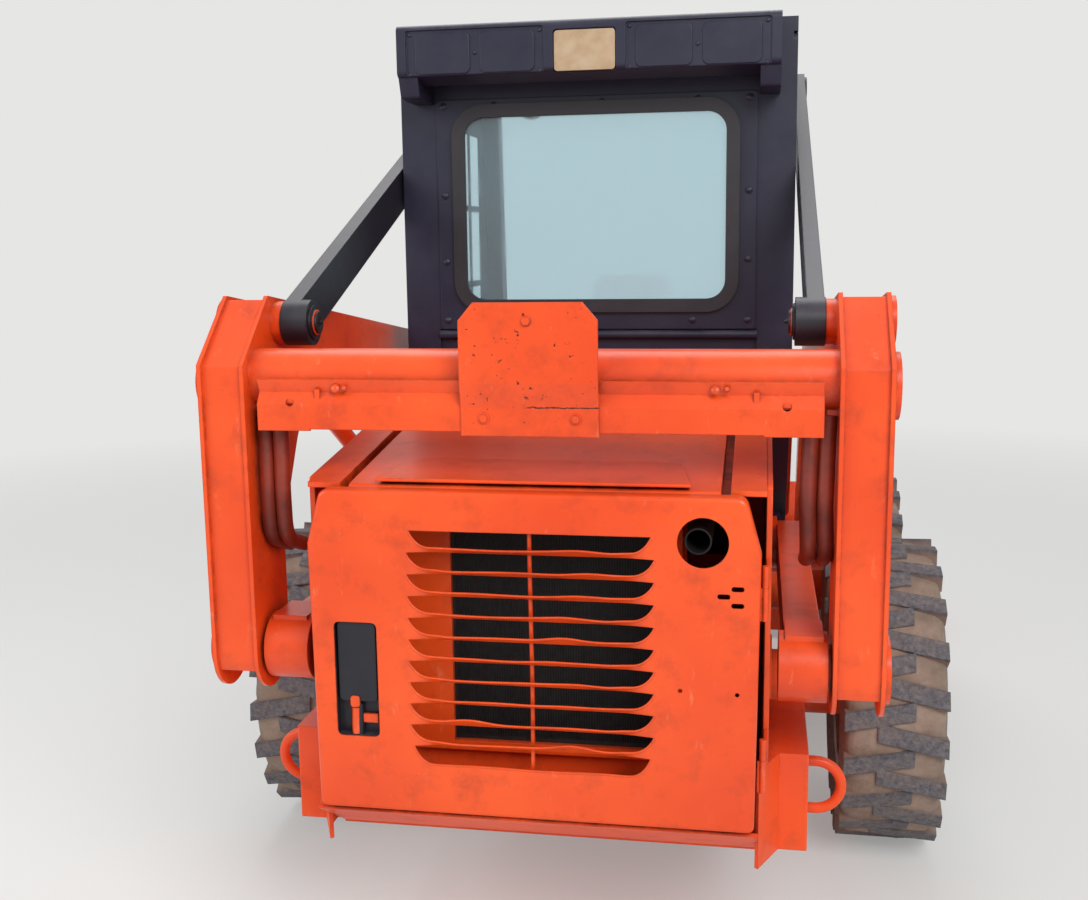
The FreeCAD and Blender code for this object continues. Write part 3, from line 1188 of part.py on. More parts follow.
def hitch():
    """Leaning plate between the arm ends, with ears for the bucket pins and the tilt cylinders."""
    thick = s.hitch_plate
    back = plate("HitchPlate", "YZ", [rounded([
        (hitch_face(s.hitch_low), s.hitch_low), (hitch_face(s.hitch_high), s.hitch_high),
        (hitch_face(s.hitch_high, thick), s.hitch_high), (hitch_face(s.hitch_low, thick), s.hitch_low),
    ])], "-hitch_half_width", "hitch_half_width")
    low, high = s.bucket_pin_height - 70, s.bucket_pin_height + 70
    ear_shape = rounded([
        (s.bucket_pin_ahead - 44, s.bucket_pin_height - 44, 43.9), (hitch_face(low, 1), low),
        (hitch_face(high, 1), high), (s.bucket_pin_ahead - 44, s.bucket_pin_height + 44, 43.9),
    ])
    inner = plate("HitchInnerEar", "YZ", [ear_shape], "ear_inner", "ear_inner + ear_plate")
    outer = plate("HitchOuterEar", "YZ", [ear_shape], "arm_outer + 6", "arm_outer + 6 + ear_plate / 2")
    pin = rod("BucketPin", "x", "ear_inner - 6", "bucket_pin_ahead", "bucket_pin_height", "pin_radius",
              "arm_outer + 12 + ear_plate / 2 - ear_inner + 6")
    low, high = s.tilt_eye_height - 120, s.hitch_high - 6
    tilt_shape = rounded([
        (s.tilt_eye_ahead - 28, s.tilt_eye_height - 26, 20), (hitch_face(low, 1), low), (hitch_face(high, 1), high),
        (s.tilt_eye_ahead - 28, s.tilt_eye_height + 30, 25),
    ])
    gap = "(tilt_eye_half + fit)"
    tilt_in = plate("TiltEarIn", "YZ", [tilt_shape], f"tilt_across - {gap} - 12", f"tilt_across - {gap}")
    tilt_out = plate("TiltEarOut", "YZ", [tilt_shape], f"tilt_across + {gap}", f"tilt_across + {gap} + 12")
    right = [inner, outer, pin, tilt_in, tilt_out]
    node("hitch_plate", fuse("Hitch", back, *right, *[mirror(thing) for thing in right]))


def bucket():
    """Curved shell with side plates, and the cutting edge below its lip."""
    low, high, skin = s.ground_gap, s.bucket_height, s.bucket_plate
    bend = high - 120
    heel, neck = hitch_face(low, s.hitch_plate + s.fit), hitch_face(bend, s.hitch_plate + s.fit)
    front = heel + s.bucket_floor
    lip = front - s.edge_deep
    shell = plate("BucketShell", "YZ", [rounded([
        (lip, low), (heel, low, 90), (neck, bend, 60), (neck + 75, high),
        (neck + 75 + skin, high - 5), (neck + skin, bend - 2, 56), (heel + skin, low + skin, 84), (lip, low + skin),
    ])], "bucket_side - bucket_half_width", "bucket_half_width - bucket_side")
    side = plate("BucketSide", "YZ", [rounded([
        (lip + 20, low), (heel, low, 90), (neck, bend, 60), (neck + 75, high), (neck + 150, high - 20, 60),
        (heel + 0.56 * s.bucket_floor, low + 250, 200), (lip + 60, low + 70, 20),
    ])], "bucket_half_width - bucket_side", "bucket_half_width")
    node("bucket", fuse("Bucket", shell, side, mirror(side)))
    edge = plate("CuttingEdge", "YZ", [rounded([
        (lip + s.fit, low), (front, low), (front - 34, low + s.edge_thick), (lip + s.fit, low + s.edge_thick),
    ])], "bucket_side + fit - bucket_half_width", "bucket_half_width - bucket_side - fit")
    node("cutting_edge", edge)


def build():
    """Makes every piece, checks it and writes it to its own file."""
    wheels()
    chassis_tub()
    axle_housings()
    tail_bumper()
    tow_rings()
    engine_bay()
    hood()
    cab_shell()
    cab_rear_wall()
    light_bar()
    side_screens()
    cab_inside()
    lap_bar()
    door_hinges()
    rear_door()
    lift_arms()
    cross_cover()
    links()
    pin_brackets()
    cylinders()
    hoses()
    hitch()
    bucket()
    doc.recompute()
    failed = [thing.Name for thing in doc.Objects if {"Invalid", "Error"} & set(thing.State)]
    failed += [thing.Label for thing in NODES if thing.Shape.isNull() or not thing.Shape.isValid()]
    if failed:
        raise RuntimeError(f"pieces that failed: {failed}")
    for thing in NODES:
        thing.Shape.exportStep(f"parts/{thing.Label}.step")


build()
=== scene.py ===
import math

import bmesh
import bpy
from mathutils import Matrix, Vector, geometry, noise


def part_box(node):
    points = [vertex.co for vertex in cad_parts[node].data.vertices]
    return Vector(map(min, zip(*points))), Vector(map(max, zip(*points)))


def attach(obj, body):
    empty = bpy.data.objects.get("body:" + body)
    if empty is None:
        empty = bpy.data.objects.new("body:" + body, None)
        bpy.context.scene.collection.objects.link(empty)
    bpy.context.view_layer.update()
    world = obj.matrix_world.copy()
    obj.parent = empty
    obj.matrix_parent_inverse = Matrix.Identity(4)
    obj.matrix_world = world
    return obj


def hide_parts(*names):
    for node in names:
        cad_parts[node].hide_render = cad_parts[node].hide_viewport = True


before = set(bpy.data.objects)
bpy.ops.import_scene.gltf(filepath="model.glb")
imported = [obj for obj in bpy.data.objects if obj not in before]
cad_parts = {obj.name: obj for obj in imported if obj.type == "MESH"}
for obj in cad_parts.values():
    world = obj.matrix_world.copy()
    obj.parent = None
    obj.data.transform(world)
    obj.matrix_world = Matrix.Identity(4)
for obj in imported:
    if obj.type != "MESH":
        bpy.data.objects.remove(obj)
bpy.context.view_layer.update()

bl_info = {
    "name": "Skid Steer Loader Finish",
    "version": (1, 0, 0),
    "blender": (4, 5, 0),
    "location": "3D View > Sidebar > Loader",
    "description": "Paint, glass, fasteners, louvres and upholstery for a skid steer loader",
    "category": "Object",
}

MM = 0.001
LOUVRE_OUT = 8 * MM
DOOR_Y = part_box("rear_door")[0][1] + LOUVRE_OUT


def at(across, ahead, up):
    """A point from millimetres across, ahead of the rear door's face and above the ground."""
    return Vector((across * MM, DOOR_Y + ahead * MM, up * MM))


def linear(hex_colour):
    """An sRGB hex value as the linear colour that a shader takes."""
    channels = [int(hex_colour[place:place + 2], 16) / 255 for place in (1, 3, 5)]
    return tuple(c / 12.92 if c <= 0.04045 else ((c + 0.055) / 1.055) ** 2.4 for c in channels) + (1.0,)


def per_mm(size):
    """The texture scale whose features are this many millimetres wide."""
    return 1 / (size * MM)


# Settings that a user would change


class LoaderPaint(bpy.types.PropertyGroup):
    body: bpy.props.FloatVectorProperty(
        name="Body paint", description="Brushed enamel on the chassis and the arms", subtype="COLOR", size=4,
        min=0, max=1, default=linear("#F0551C"))
    body_deep: bpy.props.FloatVectorProperty(
        name="Body paint, thick", description="The same enamel where the coat is thick", subtype="COLOR", size=4,
        min=0, max=1, default=linear("#DE4412"))
    cab: bpy.props.FloatVectorProperty(
        name="Cab paint", description="Blue-black enamel on the cab", subtype="COLOR", size=4, min=0, max=1,
        default=linear("#1C1D32"))
    link: bpy.props.FloatVectorProperty(
        name="Link paint", description="Black enamel on the upper links", subtype="COLOR", size=4, min=0, max=1,
        default=linear("#1A1922"))
    lens: bpy.props.FloatVectorProperty(
        name="Lamp lens", description="Aged frosted plastic of the rear lamp", subtype="COLOR", size=4, min=0, max=1,
        default=linear("#BFA98C"))


class LoaderHardware(bpy.types.PropertyGroup):
    screw: bpy.props.FloatProperty(
        name="Cab screw", description="Head radius of the screws round the cab's rear panel", subtype="DISTANCE",
        unit="LENGTH", default=7 * MM)
    nut: bpy.props.FloatProperty(
        name="Wheel nut", description="Radius over the corners of a wheel nut", subtype="DISTANCE", unit="LENGTH",
        default=15 * MM)
    nut_circle: bpy.props.FloatProperty(
        name="Nut circle", description="Radius of the circle of wheel nuts", subtype="DISTANCE", unit="LENGTH",
        default=70 * MM)
    fin_pitch: bpy.props.FloatProperty(
        name="Fin pitch", description="Distance from one radiator fin to the next", subtype="DISTANCE",
        unit="LENGTH", default=5 * MM)


class LoaderStage(bpy.types.PropertyGroup):
    floor: bpy.props.FloatVectorProperty(
        name="Floor", description="Colour of the studio floor", subtype="COLOR", size=4, min=0, max=1,
        default=linear("#E6E6E4"))
    key: bpy.props.FloatProperty(name="Key light", description="Power of the large soft lamp", default=215, min=0)
    fill: bpy.props.FloatProperty(name="Fill light", description="Power of the weaker soft lamp", default=105, min=0)


# Node and mesh helpers


def add(tree, kind, inputs=None, **settings):
    """Adds one node. Each input is a value, or the output socket that feeds it."""
    node = tree.nodes.new(kind)
    for name, value in settings.items():
        setattr(node, name, value)
    for name, value in (inputs or {}).items():
        if isinstance(value, bpy.types.NodeSocket):
            tree.links.new(value, node.inputs[name])
        else:
            node.inputs[name].default_value = value
    return node


def shader(name, slot):
    """An empty material with a Principled shader, its node tree and its Object coordinates."""
    made = bpy.data.materials.new(name)
    made.use_nodes = True
    made["slot"] = slot
    tree = made.node_tree
    tree.nodes.clear()
    surface = add(tree, "ShaderNodeBsdfPrincipled")
    add(tree, "ShaderNodeOutputMaterial", {"Surface": surface.outputs[0]})
    place = add(tree, "ShaderNodeTexCoord").outputs["Object"]
    return made, tree, surface, place


def ramp(tree, source, low, high):
    """A factor that climbs from 0 at low to 1 at high."""
    return add(tree, "ShaderNodeMapRange", {0: source, 1: low, 2: high}).outputs[0]


def finished(name, mesh, material, body):
    """Makes a piece of a mesh, with its material and the CAD body it rides on."""
    piece = bpy.data.objects.new(name, mesh)
    bpy.context.scene.collection.objects.link(piece)
    mesh.materials.clear()
    mesh.materials.append(material)
    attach(piece, body)
    return piece


def from_bmesh(name, shape, smooth=35):
    """A mesh of a bmesh, faces outward, shaded smooth below an angle."""
    bmesh.ops.remove_doubles(shape, verts=shape.verts, dist=1e-6)
    bmesh.ops.recalc_face_normals(shape, faces=shape.faces)
    mesh = bpy.data.meshes.new(name)
    shape.to_mesh(mesh)
    shape.free()
    mesh.shade_smooth()
    mesh.set_sharp_from_angle(angle=math.radians(smooth))
    return mesh


def revolve(shape, profile, centre, axis, steps=32):
    """Adds a closed turned solid to a bmesh, from (along, radius) corners about an axis through a centre."""
    turn = axis.to_track_quat("Z", "Y").to_matrix()
    rings = []
    for along, radius in profile:
        ring = []
        for step in range(steps):
            angle = math.tau * step / steps
            spot = Vector((math.cos(angle) * radius, math.sin(angle) * radius, along))
            ring.append(shape.verts.new(centre + turn @ spot))
        rings.append(ring)
    for low, high in zip(rings, rings[1:]):
        for step in range(steps):
            following = (step + 1) % steps
            shape.faces.new((low[step], low[following], high[following], high[step]))
    shape.faces.new(reversed(rings[0]))
    shape.faces.new(rings[-1])


def sweep(shape, points, radius, steps=12):
    """Adds a round tube with closed ends along a line of points."""
    rings = []
    side = None
    for index, point in enumerate(points):
        ahead = (points[min(index + 1, len(points) - 1)] - points[max(index - 1, 0)]).normalized()
        side = ahead.orthogonal() if side is None else side - ahead * side.dot(ahead)
        side.normalize()
        up = ahead.cross(side)
        rings.append([shape.verts.new(point + (side * math.cos(math.tau * n / steps)
                                               + up * math.sin(math.tau * n / steps)) * radius)
                      for n in range(steps)])
    for low, high in zip(rings, rings[1:]):
        for step in range(steps):
            following = (step + 1) % steps
            shape.faces.new((low[step], low[following], high[following], high[step]))
    shape.faces.new(reversed(rings[0]))
    shape.faces.new(rings[-1])


def tube_ring(shape, centre, axis, inner, outer, length, steps=20):
    """Adds a closed ring with a bore, from a centre along an axis."""
    turn = axis.to_track_quat("Z", "Y").to_matrix()
    rings = []
    for along, radius in ((0, inner), (0, outer), (length, outer), (length, inner)):
        rings.append([shape.verts.new(centre + turn @ Vector((math.cos(math.tau * n / steps) * radius,
                                                              math.sin(math.tau * n / steps) * radius, along)))
                      for n in range(steps)])
    for low, high in zip(rings, rings[1:] + rings[:1]):
        for step in range(steps):
            following = (step + 1) % steps
            shape.faces.new((low[step], low[following], high[following], high[step]))


def brick(shape, low, high):
    """Adds a closed box between two corners."""
    middle, size = (low + high) / 2, high - low
    bmesh.ops.create_cube(shape, size=1, matrix=Matrix.Translation(middle) @ Matrix.Diagonal((*size, 1)))


def eased(corners, steps=5):
    """A closed outline of (across, up) corners, rounded where a corner names a radius."""
    line = []
    for index, (x, z, *radius) in enumerate(corners):
        here = Vector((x, z))
        if not radius:
            line.append(here)
            continue
        before, after = (Vector(corners[(index + turn) % len(corners)][:2]) - here for turn in (-1, 1))
        reach = radius[0] / math.tan(before.angle(after) / 2)
        start, end = here + before.normalized() * reach, here + after.normalized() * reach
        for step in range(steps + 1):
            t = step / steps
            line.append(start * (1 - t) ** 2 + here * (2 * t * (1 - t)) + end * t ** 2)
    return line


def shrunk(outline, inset):
    """An anticlockwise outline moved inward."""
    moved = []
    for index, here in enumerate(outline):
        before, after = outline[index - 1], outline[(index + 1) % len(outline)]
        a, b = (here - before).normalized(), (after - here).normalized()
        along = (a + b).normalized()
        inward = Vector((-along.y, along.x))
        moved.append(here + inward * inset / max(inward.dot(Vector((-a.y, a.x))), 0.5))
    return moved


def within(spot, loop):
    """Whether a point lies inside a closed outline."""
    inside = False
    for index, (x, z, *_) in enumerate(loop):
        before_x, before_z = loop[index - 1][:2]
        if (z > spot.y) != (before_z > spot.y):
            if spot.x < (before_x - x) * (spot.y - z) / (before_z - z) + x:
                inside = not inside
    return inside


def pierced_sheet(shape, outline, holes, thick):
    """Adds the front and back faces of a sheet with holes, and the holes' walls. Each point is (across, up,
    ahead). Gives the outline's front and back vertices."""
    loops = [outline, *holes]
    spots = [point for loop in loops for point in loop]
    edges, starts = [], []
    for loop in loops:
        start = len(edges)
        starts.append(start)
        edges += [(start + n, start + (n + 1) % len(loop)) for n in range(len(loop))]
    found, _, faces, origin, _, _ = geometry.delaunay_2d_cdt([Vector(spot[:2]) for spot in spots], edges, [], 1, 1e-4)
    place = {given: index for index, names in enumerate(origin) for given in names}
    ahead = [spots[names[0]][2] if names else 0 for names in origin]
    front = [shape.verts.new(at(spot.x, ahead[index], spot.y)) for index, spot in enumerate(found)]
    back = [shape.verts.new(at(spot.x, ahead[index] + thick, spot.y)) for index, spot in enumerate(found)]
    for face in faces:
        middle = sum((found[index] for index in face), Vector((0, 0))) / len(face)
        if not any(within(middle, hole) for hole in holes):
            shape.faces.new([front[index] for index in face])
            shape.faces.new([back[index] for index in reversed(face)])
    for start, loop in list(zip(starts, loops))[1:]:
        for n in range(len(loop)):
            a, b = place[start + n], place[start + (n + 1) % len(loop)]
            shape.faces.new((front[a], front[b], back[b], back[a]))
    rim = [place[n] for n in range(len(outline))]
    return [front[index] for index in rim], [back[index] for index in rim]


def skin(shape, rings):
    """Joins closed rings of vertices, each to the next."""
    for low, high in zip(rings, rings[1:]):
        for n in range(len(low)):
            following = (n + 1) % len(low)
            shape.faces.new((low[n], low[following], high[following], high[n]))


def smooth_line(points, steps=8):
    """A smooth run of points through the given ones."""
    line = []
    for index in range(len(points) - 1):
        before = points[max(index - 1, 0)]
        start, end = points[index], points[index + 1]
        after = points[min(index + 2, len(points) - 1)]
        for step in range(steps):
            t = step / steps
            line.append(0.5 * ((2 * start) + (end - before) * t + (2 * before - 5 * start + 4 * end - after) * t ** 2
                               + (3 * start - before - 3 * end + after) * t ** 3))
    line.append(points[-1])
    return line


# Materials, each named for the real one


def brushed_enamel(name, fresh, deep, soot_at=None, worn=0.0, crack=None):
    """Glossy enamel rolled over old paint: tone shifts with the coat's thickness, chips show brown primer, and
    dust lies on upward faces and climbs from the ground."""
    made, tree, surface, place = shader(name, "orange_paint")
    broad = add(tree, "ShaderNodeTexNoise", {"Vector": place, "Scale": per_mm(320), "Detail": 3}).outputs[0]
    tone = add(tree, "ShaderNodeMix", {0: ramp(tree, broad, 0.35, 0.68), 6: fresh, 7: deep}, data_type="RGBA")
    stain = add(tree, "ShaderNodeTexNoise", {"Vector": place, "Scale": per_mm(70), "Detail": 6,
                                             "Roughness": 0.65}).outputs[0]
    stained = add(tree, "ShaderNodeMix", {0: add(tree, "ShaderNodeMath", {0: ramp(tree, stain, 0.52, 0.74), 1: 0.5},
                                                 operation="MULTIPLY").outputs[0],
                                          6: tone.outputs[2], 7: linear("#A8371A")}, data_type="RGBA")
    # pale upright scuffs from rubbing, 10 mm wide and a few times as long
    stretched = add(tree, "ShaderNodeMapping", {"Vector": place, "Scale": (1, 1, 0.28)}, vector_type="POINT")
    rub = add(tree, "ShaderNodeTexNoise", {"Vector": stretched.outputs[0], "Scale": per_mm(24), "Detail": 8,
                                           "Roughness": 0.75}).outputs[0]
    scuff = add(tree, "ShaderNodeMath", {0: ramp(tree, rub, 0.6, 0.74), 1: 0.42}, operation="MULTIPLY").outputs[0]
    scuffed = add(tree, "ShaderNodeMix", {0: scuff, 6: stained.outputs[2], 7: linear("#F89A70")}, data_type="RGBA")
    # chips are 4 to 20 mm across, drawn only where a second noise lets them gather
    chip = add(tree, "ShaderNodeTexNoise", {"Vector": place, "Scale": per_mm(11), "Detail": 5,
                                            "Roughness": 0.7}).outputs[0]
    gather = add(tree, "ShaderNodeTexNoise", {"Vector": place, "Scale": per_mm(160), "Detail": 2}).outputs[0]
    chipped = add(tree, "ShaderNodeMath", {0: ramp(tree, chip, 0.69 - 0.22 * worn, 0.705 - 0.22 * worn), 1: ramp(tree, gather, 0.55 - worn, 0.62 - worn)},
                  operation="MULTIPLY").outputs[0]
    if crack:
        # a hairline of rust that wanders along a bend
        left, right, level = crack
        parts = add(tree, "ShaderNodeSeparateXYZ", {0: place})
        wander = add(tree, "ShaderNodeMath", {0: chip, 1: 0.012, 2: parts.outputs["Z"]}, operation="MULTIPLY_ADD")
        off = add(tree, "ShaderNodeMath", {0: wander.outputs[0], 1: level + 0.006}, operation="SUBTRACT")
        near = add(tree, "ShaderNodeMath", {0: off.outputs[0]}, operation="ABSOLUTE").outputs[0]
        run = add(tree, "ShaderNodeMath", {0: ramp(tree, parts.outputs["X"], left, left + 0.01),
                                           1: ramp(tree, parts.outputs["X"], right, right - 0.01)}, operation="MULTIPLY")
        line = add(tree, "ShaderNodeMath", {0: ramp(tree, near, 0.0016, 0.0007), 1: run.outputs[0]}, operation="MULTIPLY")
        chipped = add(tree, "ShaderNodeMath", {0: chipped, 1: line.outputs[0]}, operation="MAXIMUM").outputs[0]
    bare = add(tree, "ShaderNodeMix", {0: chipped, 6: scuffed.outputs[2], 7: linear("#2E1712")}, data_type="RGBA")
    geometry = add(tree, "ShaderNodeNewGeometry")
    facing = add(tree, "ShaderNodeSeparateXYZ", {0: geometry.outputs["Normal"]}).outputs["Z"]
    height = add(tree, "ShaderNodeSeparateXYZ", {0: place}).outputs["Z"]
    grit = add(tree, "ShaderNodeTexNoise", {"Vector": place, "Scale": per_mm(38), "Detail": 7,
                                            "Roughness": 0.75}).outputs[0]
    settled = add(tree, "ShaderNodeMath", {0: ramp(tree, facing, 0.55, 1.0), 1: 0.1}, operation="MULTIPLY").outputs[0]
    splashed = add(tree, "ShaderNodeMath", {0: ramp(tree, height, 0.46, 0.1), 1: 0.45},
                   operation="MULTIPLY").outputs[0]
    both = add(tree, "ShaderNodeMath", {0: settled, 1: splashed}, operation="MAXIMUM").outputs[0]
    dust = add(tree, "ShaderNodeMath", {0: both, 1: ramp(tree, grit, 0.42, 0.72)}, operation="MULTIPLY").outputs[0]
    dusty = add(tree, "ShaderNodeMix", {0: dust, 6: bare.outputs[2], 7: linear("#A87455")}, data_type="RGBA")
    colour = dusty.outputs[2]
    # painted shade: corners within 50 mm of another face are darkened toward deep brown, broken up by grit noise, and
    # rust shows through on worn edges
    shut = add(tree, "ShaderNodeAmbientOcclusion", {"Distance": 50 * MM}, samples=4).outputs["AO"]
    corner_shade = add(tree, "ShaderNodeMath", {0: ramp(tree, shut, 0.75, 0.2), 1: ramp(tree, grit, 0.3, 0.6)},
                operation="MULTIPLY")
    corner_shade_amount = add(tree, "ShaderNodeMath", {0: corner_shade.outputs[0], 1: 0.8}, operation="MULTIPLY").outputs[0]
    colour = add(tree, "ShaderNodeMix", {0: corner_shade_amount, 6: colour, 7: linear("#3A1810")}, data_type="RGBA").outputs[2]
    round_edge = add(tree, "ShaderNodeBevel", {"Radius": 4 * MM}, samples=4).outputs[0]
    agree = add(tree, "ShaderNodeVectorMath", {0: round_edge, 1: geometry.outputs["Normal"]},
                operation="DOT_PRODUCT").outputs["Value"]
    rubbed = add(tree, "ShaderNodeMath", {0: ramp(tree, agree, 0.97, 0.86), 1: ramp(tree, grit, 0.5, 0.66)},
                 operation="MULTIPLY")
    thin = add(tree, "ShaderNodeMath", {0: rubbed.outputs[0], 1: 0.75}, operation="MULTIPLY").outputs[0]
    colour = add(tree, "ShaderNodeMix", {0: thin, 6: colour, 7: linear("#7C3A24")}, data_type="RGBA").outputs[2]
    if soot_at:
        away = add(tree, "ShaderNodeMapping", {"Vector": place, "Location": -Vector(soot_at), "Scale": (1, 0, 1)},
                   vector_type="POINT")
        reach = add(tree, "ShaderNodeVectorMath", {0: away.outputs[0]}, operation="LENGTH").outputs["Value"]
        wander = add(tree, "ShaderNodeMath", {0: grit, 1: 0.05, 2: reach}, operation="MULTIPLY_ADD").outputs[0]
        colour = add(tree, "ShaderNodeMix", {0: ramp(tree, wander, 0.098, 0.064), 6: colour,
                                             7: linear("#2A1712")}, data_type="RGBA").outputs[2]
    # the coat is dull where it is chipped, dusty, or low enough to be splashed
    dull = add(tree, "ShaderNodeMath", {0: dust, 1: chipped}, operation="MAXIMUM").outputs[0]
    dull = add(tree, "ShaderNodeMath", {0: dull, 1: ramp(tree, height, 0.54, 0.44)}, operation="MAXIMUM").outputs[0]
    rough = add(tree, "ShaderNodeMath", {0: dull, 1: 0.45, 2: 0.36}, operation="MULTIPLY_ADD").outputs[0]
    # dents 130 mm across and brush drag 6 mm wide, on edges softened over 3 mm
    dents = add(tree, "ShaderNodeTexNoise", {"Vector": place, "Scale": per_mm(130), "Detail": 2}).outputs[0]
    drag = add(tree, "ShaderNodeTexNoise", {"Vector": place, "Scale": per_mm(6), "Detail": 4}).outputs[0]
    soft = add(tree, "ShaderNodeBevel", {"Radius": 3 * MM}, samples=4)
    lumps = add(tree, "ShaderNodeBump", {"Height": dents, "Distance": 5 * MM, "Strength": 0.5,
                                         "Normal": soft.outputs[0]})
    paint = add(tree, "ShaderNodeBump", {"Height": drag, "Distance": 0.35 * MM, "Strength": 0.45,
                                         "Normal": lumps.outputs[0]})
    crater = add(tree, "ShaderNodeBump", {"Height": chipped, "Distance": 0.4 * MM, "Strength": 0.8,
                                          "Normal": paint.outputs[0]}, invert=True)
    tree.links.new(colour, surface.inputs["Base Color"])
    tree.links.new(rough, surface.inputs["Roughness"])
    tree.links.new(crater.outputs[0], surface.inputs["Normal"])
    surface.inputs["IOR"].default_value = 1.5
    surface.inputs["Specular IOR Level"].default_value = 0.35
    surface.inputs["Coat Weight"].default_value = 0.2
    surface.inputs["Coat Roughness"].default_value = 0.2
    return made


def cab_enamel(name, colour, slot, worn):
    """Satin enamel on steel: dust greys its upper faces, and rubbed places show a paler grey."""
    made, tree, surface, place = shader(name, slot)
    film = add(tree, "ShaderNodeTexNoise", {"Vector": place, "Scale": per_mm(90), "Detail": 7,
                                            "Roughness": 0.7}).outputs[0]
    geometry = add(tree, "ShaderNodeNewGeometry")
    facing = add(tree, "ShaderNodeSeparateXYZ", {0: geometry.outputs["Normal"]}).outputs["Z"]
    lying = add(tree, "ShaderNodeMath", {0: ramp(tree, facing, 0.1, 1.0), 1: 0.3, 2: 0.03},
                operation="MULTIPLY_ADD").outputs[0]
    dust = add(tree, "ShaderNodeMath", {0: lying, 1: ramp(tree, film, 0.3, 0.75)}, operation="MULTIPLY").outputs[0]
    dusty = add(tree, "ShaderNodeMix", {0: dust, 6: colour, 7: linear("#8A8690")}, data_type="RGBA")
    rub = add(tree, "ShaderNodeTexNoise", {"Vector": place, "Scale": per_mm(26), "Detail": 8,
                                           "Roughness": 0.8}).outputs[0]
    rubbed = ramp(tree, rub, 0.78 - 0.2 * worn, 0.88 - 0.2 * worn)
    bare = add(tree, "ShaderNodeMix", {0: add(tree, "ShaderNodeMath", {0: rubbed, 1: 0.3 + 0.5 * worn},
                                              operation="MULTIPLY").outputs[0],
                                       6: dusty.outputs[2], 7: linear("#77737A")}, data_type="RGBA")
    rough = add(tree, "ShaderNodeMath", {0: film, 1: 0.3, 2: 0.25}, operation="MULTIPLY_ADD").outputs[0]
    soft = add(tree, "ShaderNodeBevel", {"Radius": 3 * MM}, samples=4)
    grain = add(tree, "ShaderNodeTexNoise", {"Vector": place, "Scale": per_mm(5), "Detail": 3}).outputs[0]
    peel = add(tree, "ShaderNodeBump", {"Height": grain, "Distance": 0.3 * MM, "Strength": 0.4,
                                        "Normal": soft.outputs[0]})
    tree.links.new(bare.outputs[2], surface.inputs["Base Color"])
    tree.links.new(rough, surface.inputs["Roughness"])
    tree.links.new(peel.outputs[0], surface.inputs["Normal"])
    surface.inputs["IOR"].default_value = 1.5
    surface.inputs["Specular IOR Level"].default_value = 0.4
    return made


def plain_finish(name, slot, colour, other, size, roughness, metallic=0.0, ior=None, relief=0.2):
    """One material whose colour wanders between two tones, with grain of a real size in millimetres."""
    made, tree, surface, place = shader(name, slot)
    wander = add(tree, "ShaderNodeTexNoise", {"Vector": place, "Scale": per_mm(size * 9), "Detail": 6,
                                              "Roughness": 0.65}).outputs[0]
    mixed = add(tree, "ShaderNodeMix", {0: ramp(tree, wander, 0.35, 0.7), 6: linear(colour), 7: linear(other)},
                data_type="RGBA")
    grain = add(tree, "ShaderNodeTexNoise", {"Vector": place, "Scale": per_mm(size), "Detail": 4}).outputs[0]
    rough = add(tree, "ShaderNodeMath", {0: wander, 1: 0.25, 2: roughness - 0.12}, operation="MULTIPLY_ADD").outputs[0]
    soft = add(tree, "ShaderNodeBevel", {"Radius": 1.5 * MM}, samples=4)
    bump = add(tree, "ShaderNodeBump", {"Height": grain, "Distance": relief * MM, "Strength": 0.6,
                                        "Normal": soft.outputs[0]})
    tree.links.new(mixed.outputs[2], surface.inputs["Base Color"])
    tree.links.new(rough, surface.inputs["Roughness"])
    tree.links.new(bump.outputs[0], surface.inputs["Normal"])
    surface.inputs["Metallic"].default_value = metallic
    if ior:
        surface.inputs["IOR"].default_value = ior
    return made


def window_glass():
    """Clear tempered glass with a grey tint and a film of dust that catches the light."""
    made, tree, surface, place = shader("Tempered Glass", "tinted_glass")
    film = add(tree, "ShaderNodeTexNoise", {"Vector": place, "Scale": per_mm(120), "Detail": 8,
                                            "Roughness": 0.7}).outputs[0]
    rough = add(tree, "ShaderNodeMath", {0: ramp(tree, film, 0.4, 0.8), 1: 0.12, 2: 0.02},
                operation="MULTIPLY_ADD").outputs[0]
    tree.links.new(rough, surface.inputs["Roughness"])
    surface.inputs["Base Color"].default_value = linear("#C2E0EA")
    surface.inputs["Transmission Weight"].default_value = 0.86
    surface.inputs["IOR"].default_value = 1.5
    surface.inputs["Specular IOR Level"].default_value = 0.9
    return made


def lamp_lens(colour):
    """Frosted acrylic gone cream with age, moulded in fine ribs 6 mm apart."""
    made, tree, surface, place = shader("Frosted Acrylic", "lamp_lens")
    ribs = add(tree, "ShaderNodeTexWave", {"Vector": place, "Scale": per_mm(6) / 20, "Distortion": 0.4},
               bands_direction="X").outputs["Fac"]
    stain = add(tree, "ShaderNodeTexNoise", {"Vector": place, "Scale": per_mm(45), "Detail": 5}).outputs[0]
    aged = add(tree, "ShaderNodeMix", {0: ramp(tree, stain, 0.35, 0.75), 6: colour, 7: linear("#A88A66")},
               data_type="RGBA")
    bump = add(tree, "ShaderNodeBump", {"Height": ribs, "Distance": 0.6 * MM, "Strength": 0.4})
    tree.links.new(aged.outputs[2], surface.inputs["Base Color"])
    tree.links.new(bump.outputs[0], surface.inputs["Normal"])
    surface.inputs["Roughness"].default_value = 0.35
    surface.inputs["IOR"].default_value = 1.49
    surface.inputs["Subsurface Weight"].default_value = 0.15
    surface.inputs["Subsurface Scale"].default_value = 4 * MM
    return made


